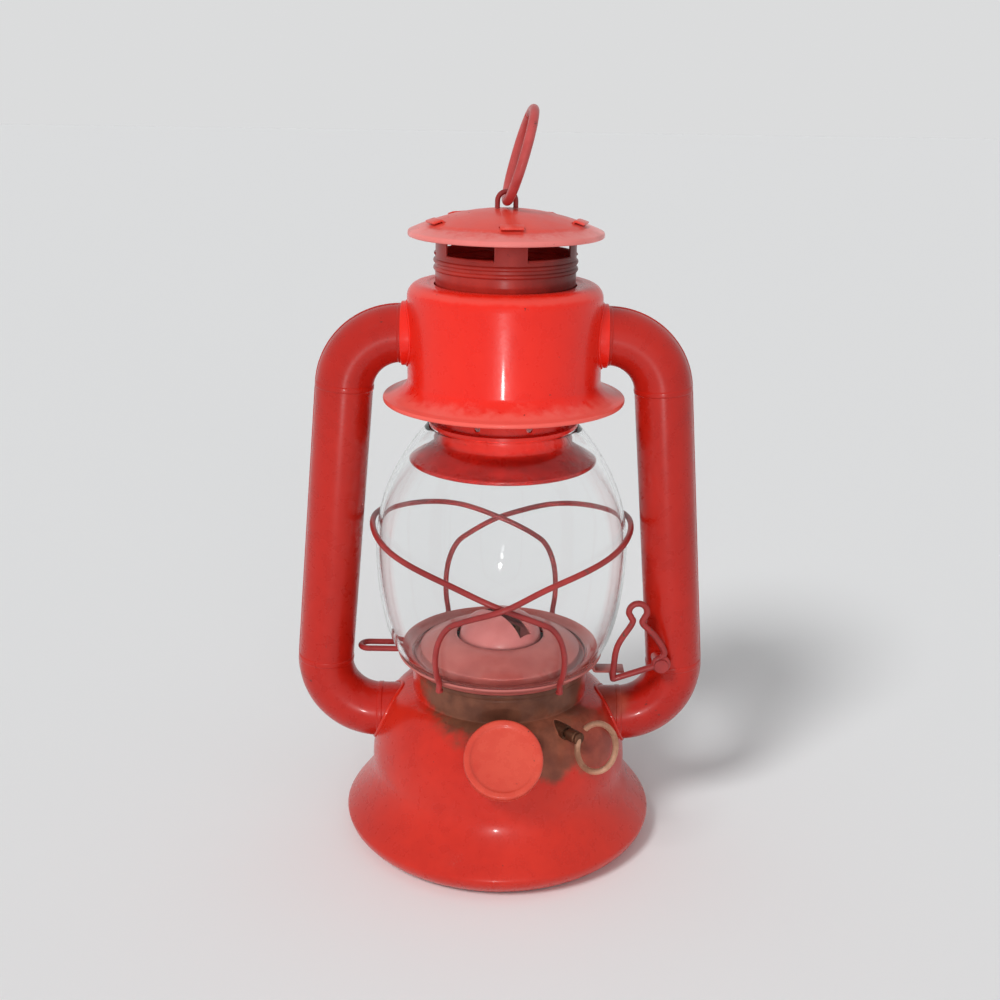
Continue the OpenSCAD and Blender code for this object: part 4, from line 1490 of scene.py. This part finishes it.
@dataclass
class WireGuard:
    """Two crossing guard wires round the globe, and the guide loop on the left tube."""

    globe: Globe
    plate_z: float = 69.7
    height: float = 56.0
    wire: float = 1.1
    gap: float = 0.8
    gallery_r: float = 39.5
    step: float = 2.5
    guide_x: float = 55.0
    loop_r: float = 3.2
    half: tuple[Pair, ...] = ((0, 1), (38, 0.936), (66, 0.857), (88, 0.73), (106, 0.61), (113, 0.54),
                              (118, 0.41), (121, 0.24), (123, 0.02))

    def route(self, over: float, mirror: float) -> list[Vector]:
        """The centre line of one wire.

        Args:
            over: How far it stands off where it crosses the other.
            mirror: 1 for the wire on the left, -1 for the right.

        Returns:
            The points from front to back.
        """
        turns = [Vector((-a, h)) for a, h in reversed(self.half[1:])]
        turns += [Vector((a, h)) for a, h in self.half]
        line = []
        for q in smooth_route(turns, 9):
            z = self.plate_z + self.height * q.y
            away = over * math.exp(-((abs(q.x) - 90) / 11) ** 2)
            r = max(self.globe.radius(z) + self.wire + self.gap, self.gallery_r + self.wire + 0.05) + away
            a = math.radians(q.x)
            line.append(Vector((-mirror * r * math.cos(a), -r * math.sin(a), z)))
        return line

    def build(self) -> None:
        """Makes both wires with their feet, and the guide loop."""
        for name, over, mirror in (("left", 0.0, 1.0), ("right", self.step, -1.0)):
            line = self.route(over, mirror)
            pieces = [Bench.wire(f"{name}_guard_wire", line, self.wire, 12)]
            for end in (line[0], line[-1]):
                out = Vector((end.x, end.y, 0)).normalized()
                foot = [end + Vector((0, 0, 0.6)) - out * 0.5, end + Vector((0, 0, -0.2)) - out * 0.6]
                pieces.append(Bench.wire("foot", foot, self.wire * 1.25, 10))
            Bench.deliver(Bench.join(pieces), WIRE_RED, Body.CARRIAGE, Slot.WIRE, f"{name}_guard")
        z = self.plate_z + 4.5 - self.wire / 2
        root = math.sqrt(self.gallery_r ** 2 - self.loop_r ** 2) - 0.3
        bow_x = self.guide_x - self.loop_r - self.wire
        line = [Vector((-root, -self.loop_r, z)), Vector((-bow_x, -self.loop_r, z))]
        for i in range(1, 16):
            a = math.pi * i / 16
            line.append(Vector((-bow_x - self.loop_r * math.sin(a), -self.loop_r * math.cos(a), z)))
        line += [Vector((-bow_x, self.loop_r, z)), Vector((-root, self.loop_r, z))]
        loop = Bench.wire("guide_loop", line, self.wire, 12)
        Bench.deliver(loop, WIRE_RED, Body.CARRIAGE, Slot.WIRE, "plate_guide")


@dataclass
class Chimney:
    """Chimney tube with its bell mouth, the windowed neck and the crown cap with folded tabs."""

    radius: float = 24.1
    bell_r: float = 34.19
    bell_z: float = 149.5
    bell_h: float = 6.8
    bell_curve: float = 1.3
    tube_top: float = 201.0
    hole_z: float = 166.75
    hole_r: float = 1.2
    holes: int = 8
    neck_r: float = 24.95
    neck_z: float = 196.0
    hood_top: float = 215.0
    sheet: float = 0.8
    windows: int = 5
    window_turn: float = 46.0
    window_z: float = 225.2
    window_h: float = 6.8
    cap_r: float = 34.6
    cap_z: float = 231.2
    cap_lip: float = 1.8
    cap_h: float = 7.7
    tab_w: float = 8.0
    turn: float = 4.0

    def turns(self, shift: float) -> list[float]:
        """Turns of the windows, or of the tabs between them, in degrees."""
        return [self.turn + 360 * (i + shift) / self.windows - 90 for i in range(self.windows)]

    def cap_over(self, r: float) -> float:
        """Height of the cap's upper face at a radius."""
        return self.cap_z + self.cap_lip + self.cap_h * (1 - (r / self.cap_r) ** 2)

    def build(self) -> None:
        """Makes the tube, the neck and the cap."""
        self.build_tube()
        self.build_neck()
        self.build_cap()

    def build_tube(self) -> None:
        """Turns the tube with its rolled bell edge and drills the small holes."""
        stops = [Stop(self.bell_r - 1.2, self.bell_z + 0.1), Stop(self.bell_r, self.bell_z, 0.6),
                 Stop(self.bell_r, self.bell_z + 1.5, 0.5)]
        for i in range(3, 29):
            f = i / 28
            flare = (self.bell_r - self.radius) * (1 - f) ** self.bell_curve
            stops.append(Stop(self.radius + flare, self.bell_z + 1.2 + self.bell_h * f))
        stops.append(Stop(self.radius, self.tube_top))
        tube = Bench.turn("chimney_bell", shell(rounded(stops), self.sheet), 112)
        cutters = []
        for i in range(self.holes):
            place = turned(360 * (i + 0.5) / self.holes - 90, "Z") @ placed(0, 0, self.hole_z) @ SIDEWAYS
            cutters.append(Bench.drill("cut", self.hole_r, 20.0, 30.0, place))
        Bench.cut(tube, cutters)
        Bench.deliver(tube, CHIMNEY_RED, Body.CARRIAGE, Slot.RED, "chimney_tube")

    def build_neck(self) -> None:
        """Turns the neck with its two beads, cuts the windows and rolls a sill under each."""
        top = self.cap_over(self.neck_r) - self.sheet - 0.2
        stops = [Stop(self.neck_r, self.neck_z), Stop(self.neck_r, self.hood_top + 3.6)]
        for z in (self.hood_top + 5.2, self.hood_top + 7.8):
            for i in range(9):
                a = math.radians(-70 + 140 * i / 8)
                stops.append(Stop(self.neck_r - 0.2 + 0.9 * math.cos(a), z + 0.9 * math.sin(a)))
        stops += [Stop(self.neck_r, self.hood_top + 9.2), Stop(self.neck_r, top)]
        neck = Bench.turn("vent_neck", shell(rounded(stops), self.sheet), 120)
        width = 2 * self.neck_r * math.sin(math.radians(self.window_turn / 2))
        turns = self.turns(0.5)
        low, high = (15, -width / 2, self.window_z), (30, width / 2, self.window_z + self.window_h)
        Bench.cut(neck, [Bench.block("cut", low, high, turned(a, "Z")) for a in turns])
        half = self.window_turn / 2 - 0.5
        sill = [p + Vector((0, 0, self.window_z)) for p in circle_route(self.neck_r - 0.1, -half, half, 16)]
        pieces = [neck, Bench.round_about(Bench.wire("sill", sill, 0.55, THIN), turns)]
        Bench.deliver(Bench.join(pieces), NECK_RED, Body.CARRIAGE, Slot.RED, "chimney_neck")
        slope = math.atan(2 * self.cap_h * self.neck_r / self.cap_r ** 2)
        reach = 3.3
        fold = rounded([Stop(self.neck_r, top - 1.0), Stop(self.neck_r, top + 1.4, 0.6),
                        Stop(self.neck_r + reach * math.cos(slope), top + 1.5 - reach * math.sin(slope))])
        tab = Bench.strip("crown_tab", fold, self.tab_w, self.sheet, 0.2)
        tabs = Bench.round_about(tab, self.turns(0.0))
        tabs.name = "crown_tabs"
        Bench.deliver(tabs, CROWN_RED, Body.CARRIAGE, Slot.RED)

    def build_cap(self) -> None:
        """Turns the crown cap with its rolled lip and pressed ring, and cuts the tab slots."""
        stops = [Stop(self.cap_r - 1.3, self.cap_z + 0.1), Stop(self.cap_r, self.cap_z, 0.7),
                 Stop(self.cap_r, self.cap_z + self.cap_lip, 0.9)]
        for i in range(1, 41):
            r = self.cap_r * (1 - i / 40)
            dent = 0.35 * math.exp(-((r - 28.6) / 0.7) ** 2)
            stops.append(Stop(r, self.cap_over(r) - dent))
        cap = Bench.turn("crown_dome", shell(rounded(stops), self.sheet), 120)
        play = 0.3
        low = (self.neck_r - self.sheet - play, -self.tab_w / 2 - play, self.cap_z)
        high = (self.neck_r + play, self.tab_w / 2 + play, self.cap_z + 14)
        Bench.cut(cap, [Bench.block("cut", low, high, turned(a, "Z")) for a in self.turns(0.0)])
        Bench.deliver(cap, CROWN_RED, Body.CARRIAGE, Slot.RED, "crown_cap")


@dataclass
class CarryRing:
    """Wire ring that swings in an eye on the crown."""

    eye_z: float = 243.2
    apex_z: float = 240.7
    ring_r: float = 16.0
    wire: float = 1.7
    eye_wire: float = 0.9
    eye_r: float = 3.2
    lean: float = 16.0
    turn: float = 4.0

    def build(self) -> None:
        """Makes the eye with its feet and the ring with its butt joint."""
        bow = []
        for i in range(21):
            a = math.pi * i / 20
            bow.append(Vector((self.eye_r * math.cos(a), 0, self.eye_z + self.eye_r * math.sin(a))))
        foot_z = self.apex_z + 0.05
        line = [Vector((self.eye_r, 0, foot_z))] + bow + [Vector((-self.eye_r, 0, foot_z))]
        eye = Bench.set_down(Bench.wire("crown_eye", line, self.eye_wire, 12), turned(self.turn, "Z"))
        Bench.deliver(eye, WIRE_RED, Body.CARRIAGE, Slot.STEEL, "ring_eye")
        arc = [Vector((0, p.x, p.y)) for p in circle_route(self.ring_r, 62, 418, 96)]
        ring = Bench.wire("hanging_ring", arc, self.wire, 16)
        place = placed(0, 0, self.eye_z) @ turned(self.turn, "Z") @ turned(self.lean, "Y")
        Bench.set_down(ring, place @ placed(0, 0, self.ring_r))
        Bench.deliver(ring, RING_RED, Body.RING, Slot.WIRE, "carry_ring")


@dataclass
class Burner:
    """Domed burner cone with its slits, and the woven wick."""

    cone_r: float = 15.6
    low: float = 62.85
    cone_z: float = 79.2
    rise: float = 10.0
    sheet: float = 0.8
    flame_w: float = 28.4
    flame_t: float = 5.8
    flame_drop: float = 7.0
    slit_w: float = 2.2
    wick_w: float = 14.4
    wick_t: float = 2.2
    wick_low: float = 12.0
    wick_top: float = 84.7
    turn: float = -47.0

    def build(self) -> None:
        """Makes the cone and the wick."""
        stops = [Stop(self.cone_r, self.low), Stop(self.cone_r, self.cone_z - 1.6, 0.5),
                 Stop(self.cone_r + 0.4, self.cone_z - 1.0, 0.3), Stop(self.cone_r, self.cone_z - 0.4, 0.3)]
        for i in range(25):
            a = QUARTER * i / 24
            r = self.cone_r * math.cos(a) if i < 24 else 0.0
            stops.append(Stop(r, self.cone_z + self.rise * math.sin(a)))
        cone = Bench.turn("burner_dome", shell(rounded(stops), self.sheet), 96)
        top = self.cone_z + self.rise
        cutters = [Bench.block("cut", (-self.flame_w / 2, -self.flame_t / 2, top - self.flame_drop),
                               (self.flame_w / 2, self.flame_t / 2, top + 5), turned(self.turn, "Z"))]
        slit = Bench.block("cut", (self.cone_r * 0.6, -self.slit_w / 2, self.cone_z),
                           (self.cone_r * 1.6, self.slit_w / 2, self.cone_z + self.rise * 0.55))
        cutters += [slit, Bench.copy(slit, ACROSS)]
        Bench.cut(cone, cutters)
        Bench.deliver(cone, DOME_RED, Body.FRAME, Slot.RED, "burner_cone", angle=42.0)
        self.build_wick()

    def build_wick(self) -> None:
        """Extrudes the wick from a ribbed section, in steps that sway a little."""
        section = []
        count = 40
        for side in (1, -1):
            for i in range(count + 1):
                x = (self.wick_w / 2 - 0.5) * (2 * i / count - 1) * -side
                y = side * (self.wick_t / 2 - 0.14 + 0.13 * math.cos(TAU * i / 4))
                section.append(Vector((x, y, self.wick_low)))
            section.append(Vector((-side * (self.wick_w / 2 - 0.1), 0, self.wick_low)))
        piece = Bench.face("woven_wick", section + [section[0]])
        steps = 12
        for i in range(steps):
            sway = 0.05 * (math.sin(i * 1.7 + 1) - math.sin((i - 1) * 1.7 + 1)) if i else 0.0
            Bench.push(sway, 0, (self.wick_top - self.wick_low) / steps)
        Bench.weld()
        Bench.set_down(piece, turned(self.turn, "Z"))
        Bench.deliver(piece, WICK_COTTON, Body.WICK, Slot.COTTON, "wick")


@dataclass
class WickKnob:
    """Wire loop that turns the wick spindle, in a ferrule."""

    fount: Fount
    reach: float = 56.937
    loop_r: float = 8.6
    wire: float = 1.1
    roll: float = 27.0
    ferrule_r: float = 2.4
    ferrule_len: float = 5.0

    def build(self) -> None:
        """Makes the ferrule and the open loop."""
        fount = self.fount
        place = turned(fount.spindle_turn - 90, "Z") @ placed(self.reach, fount.spindle_y, fount.spindle_z)
        loop = circle_route(self.loop_r, 186, 510, 72)
        root = [Vector((-self.loop_r - 2.4, 0, 0)), Vector((-self.loop_r - 0.9, 0, 0))]
        line = smooth_route(root + loop[:2], 6) + loop[2:]
        upright = place @ turned(-self.roll, "X") @ turned(90, "X")
        wire = Bench.set_down(Bench.wire("wick_loop", line, self.wire, 14), upright)
        low = -self.loop_r - self.ferrule_len
        r, bore, groove = self.ferrule_r, 1.56, self.ferrule_r - 0.35
        stops = [Stop(0.0, low + 4.0), Stop(bore, low + 4.0), Stop(bore, low), Stop(r, low, 0.3),
                 Stop(r, low + 3.6, 0.3), Stop(groove, low + 3.9, 0.2), Stop(groove, low + 4.4, 0.2),
                 Stop(r, low + 4.7, 0.2), Stop(r, low + 5.4, 0.6), Stop(0.0, low + 5.6)]
        ferrule = Bench.set_down(Bench.turn("knob_ferrule", rounded(stops), 40), place @ SIDEWAYS)
        Bench.deliver(wire, DULL_BRASS, Body.WICK_TRAIN, Slot.BRASS, "wick_knob")
        Bench.deliver(ferrule, STAINED, Body.WICK_TRAIN, Slot.BRASS, "wick_knob")


@dataclass
class FillerCap:
    """Screw cap with a dished face, and its gasket."""

    fount: Fount
    wall_r: float = 14.3
    bore_r: float = 11.3
    seat_z: float = 7.05
    face_z: float = 8.85
    height: float = 6.0
    gasket_z: float = 5.8
    gasket_t: float = 1.2
    dish: float = 0.7

    def build(self) -> None:
        """Makes the cap and the gasket."""
        low = self.face_z - self.height
        r, bead = self.wall_r, self.wall_r - 0.1
        stops = [Stop(self.bore_r, low), Stop(bead, low, 0.5), Stop(bead, low + 1.2, 0.4),
                 Stop(r - 0.5, low + 1.6, 0.3), Stop(r, low + 2.2, 0.4), Stop(r, self.face_z, 1.3),
                 Stop(r - 2.1, self.face_z, 0.6)]
        lip = self.wall_r - 2.7
        bowl = [1 - i / 14 for i in range(15)]
        stops += [Stop(lip * f, self.face_z - 0.5 - self.dish * (1 - f ** 3)) for f in bowl]
        stops += [Stop(0.0, self.seat_z), Stop(self.bore_r, self.seat_z, 0.4), Stop(self.bore_r, low)]
        cap = Bench.set_down(Bench.turn("screw_cap", rounded(stops), 96), self.fount.filler_place())
        Bench.deliver(cap, CAP_RED, Body.CAP, Slot.RED, "filler_cap")
        r, z, t = self.fount.neck_r, self.gasket_z, self.gasket_t
        line = rounded([Stop(0.0, z), Stop(9.6, z), Stop(9.8, z + 0.15), Stop(10.8, z + 0.15),
                        Stop(r, z, 0.2), Stop(r, z + t, 0.3), Stop(0.0, z + t)])
        gasket = Bench.set_down(Bench.turn("seal_disc", line, 64), self.fount.filler_place())
        Bench.deliver(gasket, GASKET_RUBBER, Body.GASKET, Slot.GASKET, "filler_gasket")


@dataclass
class LiftLever:
    """Bent wire lever with a finger ring, an eye on its pin and a foot under the plate's tab."""

    pivot_x: float = 61.087
    pivot_z: float = 73.4
    y: float = -13.2
    wire: float = 1.2
    tab_x: float = 43.2
    drop: float = 6.5
    finger_in: float = 9.6
    finger_rise: float = 21.2
    finger_r: float = 3.4
    eye_r: float = 2.5
    foot_y: float = -4.9

    def point(self, x: float, z: float) -> Vector:
        """A point of the lever's plane, from the pin."""
        return Vector((self.pivot_x + x, self.y, self.pivot_z + z))

    def build(self) -> None:
        """Bends the wire and closes the eye."""
        reach, rise, r = self.tab_x - self.pivot_x, self.finger_rise, self.finger_r
        finger = self.point(-self.finger_in, rise)
        points = [self.point(0, self.eye_r), self.point(self.finger_in * 0.1, rise * 0.25),
                  self.point(-self.finger_in * 0.3, rise * 0.55), finger + Vector((r * 0.6, 0, -r * 1.4))]
        points += [finger + Vector((p.x, 0, p.y)) for p in circle_route(r, -45, 225, 7)]
        points += [finger + Vector((-r * 0.6, 0, -r * 1.4)), self.point(reach + self.wire, rise * 0.34),
                   self.point(reach, -self.drop * 0.4), self.point(reach, -self.drop)]
        bend = Bench.wire("lever_wire", smooth_route(points, 7), self.wire, 12)
        eye = [self.point(p.x, p.y) for p in circle_route(self.eye_r, 0, 360, 40)[:-1]]
        loop = Bench.wire("eye", eye, self.wire, 12, True)
        foot = self.point(reach, -self.drop)
        arm_end = self.point(0, 0) + (foot - self.point(0, 0)).normalized() * self.eye_r
        arm = Bench.wire("arm", [foot, (foot + arm_end) / 2, arm_end], self.wire, 12)
        tip = Vector((foot.x, self.foot_y, foot.z))
        toe = Bench.wire("toe", [foot, (foot + tip) / 2, tip], self.wire, 12)
        Bench.deliver(Bench.join([bend, loop, arm, toe]), WIRE_RED, Body.LEVER, Slot.WIRE, "lift_lever")


@dataclass
class KeptNodes:
    """CAD nodes whose shape is right as it is, each with a finish."""

    finishes: dict[str, Finish] = field(default_factory=lambda: {
        "fount_bottom": FOUNT_RED, "air_drum": TINNED, "burner_collar": OLD_BRASS, "burner_body": OLD_BRASS,
        "wick_tube": OLD_BRASS, "spindle_sleeve": STAINED, "lever_bracket": RIGHT_RED, "lever_pin": WIRE_RED,
        "globe_seat": CHIMNEY_RED, "wick_spindle": STAINED, "feed_wheels": BRIGHT})

    def dress(self) -> None:
        """Puts each finish into its node's material slots."""
        for name, finish in self.finishes.items():
            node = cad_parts[name]
            if not node.material_slots:
                node.data.materials.append(finish.material())
            for slot in node.material_slots:
                slot.material = finish.material()
            LOG.info("%s keeps its shape, %s", name, finish.name)


# Studio


@dataclass(frozen=True)
class Sun:
    """A wide lamp far away: side from the front in degrees, height, strength and spread."""

    name: str
    side: float
    height: float
    strength: float
    spread: float


@dataclass(frozen=True)
class Spark:
    """A small round lamp that leaves the highlights, in metres; it faces a point on the lantern's axis."""

    place: tuple[float, float, float] = (-0.012, -0.62, 0.075)
    aim_z: float = 0.12
    size: float = 0.03
    power: float = 0.05
    cone: float = 50.0


@dataclass
class Studio:
    """Pale floor and surroundings, soft lamps and the camera."""

    pale: Colour = (0.88, 0.885, 0.89, 1.0)
    world: float = 0.45
    suns: tuple[Sun, ...] = (Sun("key", -38.0, 45.0, 1.65, 16.0), Sun("fill", 8.0, 8.0, 0.76, 40.0))
    spark: Spark = Spark()
    floor_w: float = 14.0
    floor_z: float = -0.0002
    eye: tuple[float, float, float] = (-0.8, -463.0, 284.0)
    pitch: float = 18.0
    roll: float = 0.85
    lens: float = 46.8
    far_share: float = 0.944

    def build(self) -> None:
        """Makes the floor, the world, the lamps and the camera."""
        self.build_floor()
        self.build_world()
        for sun in self.suns:
            self.hang(sun)
        self.hang_spark()
        self.build_camera()

    @staticmethod
    def link(name: str, data: bpy.types.ID) -> Piece:
        """Adds a lamp or camera to the scene.

        Args:
            name: Its name.
            data: The lamp or camera.

        Returns:
            The object.
        """
        thing = bpy.data.objects.new(name, data)
        bpy.context.scene.collection.objects.link(thing)
        return thing

    def floor_level(self) -> float:
        """How bright the open floor is before its own colour, so that the surroundings can match it."""
        lit = sum(sun.strength * math.sin(math.radians(sun.height)) for sun in self.suns) / math.pi
        return (self.world + lit) * self.far_share

    def hang(self, sun: Sun) -> None:
        """Hangs a wide soft lamp far away that leaves no highlight of its own.

        Args:
            sun: The lamp.
        """
        data = bpy.data.lights.new(sun.name, "SUN")
        data.energy = sun.strength
        data.angle = math.radians(sun.spread)
        lamp = self.link(sun.name, data)
        lamp.visible_glossy = False
        lamp.visible_transmission = False
        lamp.matrix_world = turned(sun.side, "Z") @ turned(90 - sun.height, "X")

    def build_floor(self) -> None:
        """Lays a wide pale floor."""
        Bench.clear()
        bpy.ops.mesh.primitive_plane_add(size=self.floor_w, location=(0, 0, self.floor_z))
        floor = Bench.named("floor")
        made = bpy.data.materials.new("floor")
        made.use_nodes = True
        shader = made.node_tree.nodes["Principled BSDF"]
        shader.inputs["Base Color"].default_value = self.pale
        shader.inputs["Roughness"].default_value = 0.9
        floor.data.materials.append(made)

    def build_world(self) -> None:
        """Gives the surroundings one level for lighting and one for what is seen."""
        world = bpy.data.worlds.new("surroundings")
        bpy.context.scene.world = world
        world.use_nodes = True
        board = Board(world.node_tree)
        world.node_tree.nodes.clear()
        path = board.add("LightPath").outputs
        seen = board.math("MAXIMUM", path["Is Camera Ray"], path["Is Transmission Ray"])
        seen = board.math("MAXIMUM", seen, path["Is Glossy Ray"])
        level = board.ramp(seen, 0.0, 1.0, self.world, self.floor_level())
        light = board.add("Background", self.pale, level)
        board.feed(board.add("OutputWorld").inputs[0], light.outputs[0])

    def hang_spark(self) -> None:
        """Hangs the lamp that leaves the highlights."""
        data = bpy.data.lights.new("spark", "AREA")
        data.shape = "DISK"
        data.size = self.spark.size
        data.spread = math.radians(self.spark.cone)
        data.energy = self.spark.power
        lamp = self.link("spark", data)
        lamp.visible_camera = False
        lamp.location = self.spark.place
        ahead = Vector((0, 0, self.spark.aim_z)) - Vector(self.spark.place)
        lamp.rotation_euler = ahead.to_track_quat("-Z", "Y").to_euler()

    def build_camera(self) -> None:
        """Sets the camera where the photograph was taken from."""
        data = bpy.data.cameras.new("camera")
        data.lens = self.lens
        data.sensor_width = 36.0
        data.clip_start = 0.01
        camera = self.link("camera", data)
        tilt = turned(90 - self.pitch, "X") @ turned(self.roll, "Z")
        camera.matrix_world = Matrix.Translation(Vector(self.eye) * MM) @ tilt
        bpy.context.scene.camera = camera


def main() -> None:
    """Builds the lantern part by part and sets up the studio."""
    logging.basicConfig(level=logging.INFO, format="%(message)s")
    bpy.context.scene.view_settings.view_transform = "Standard"
    fount = Fount()
    globe = Globe()
    parts = [fount, AirTube(), Hood(), CrownSpring(), globe, GlobePlate(globe), WireGuard(globe), Chimney(),
             CarryRing(), Burner(), WickKnob(fount), FillerCap(fount), LiftLever()]
    for part in parts:
        part.build()
        LOG.info("%s done", type(part).__name__)
    KeptNodes().dress()
    Studio().build()


if __name__ == "__main__":
    main()
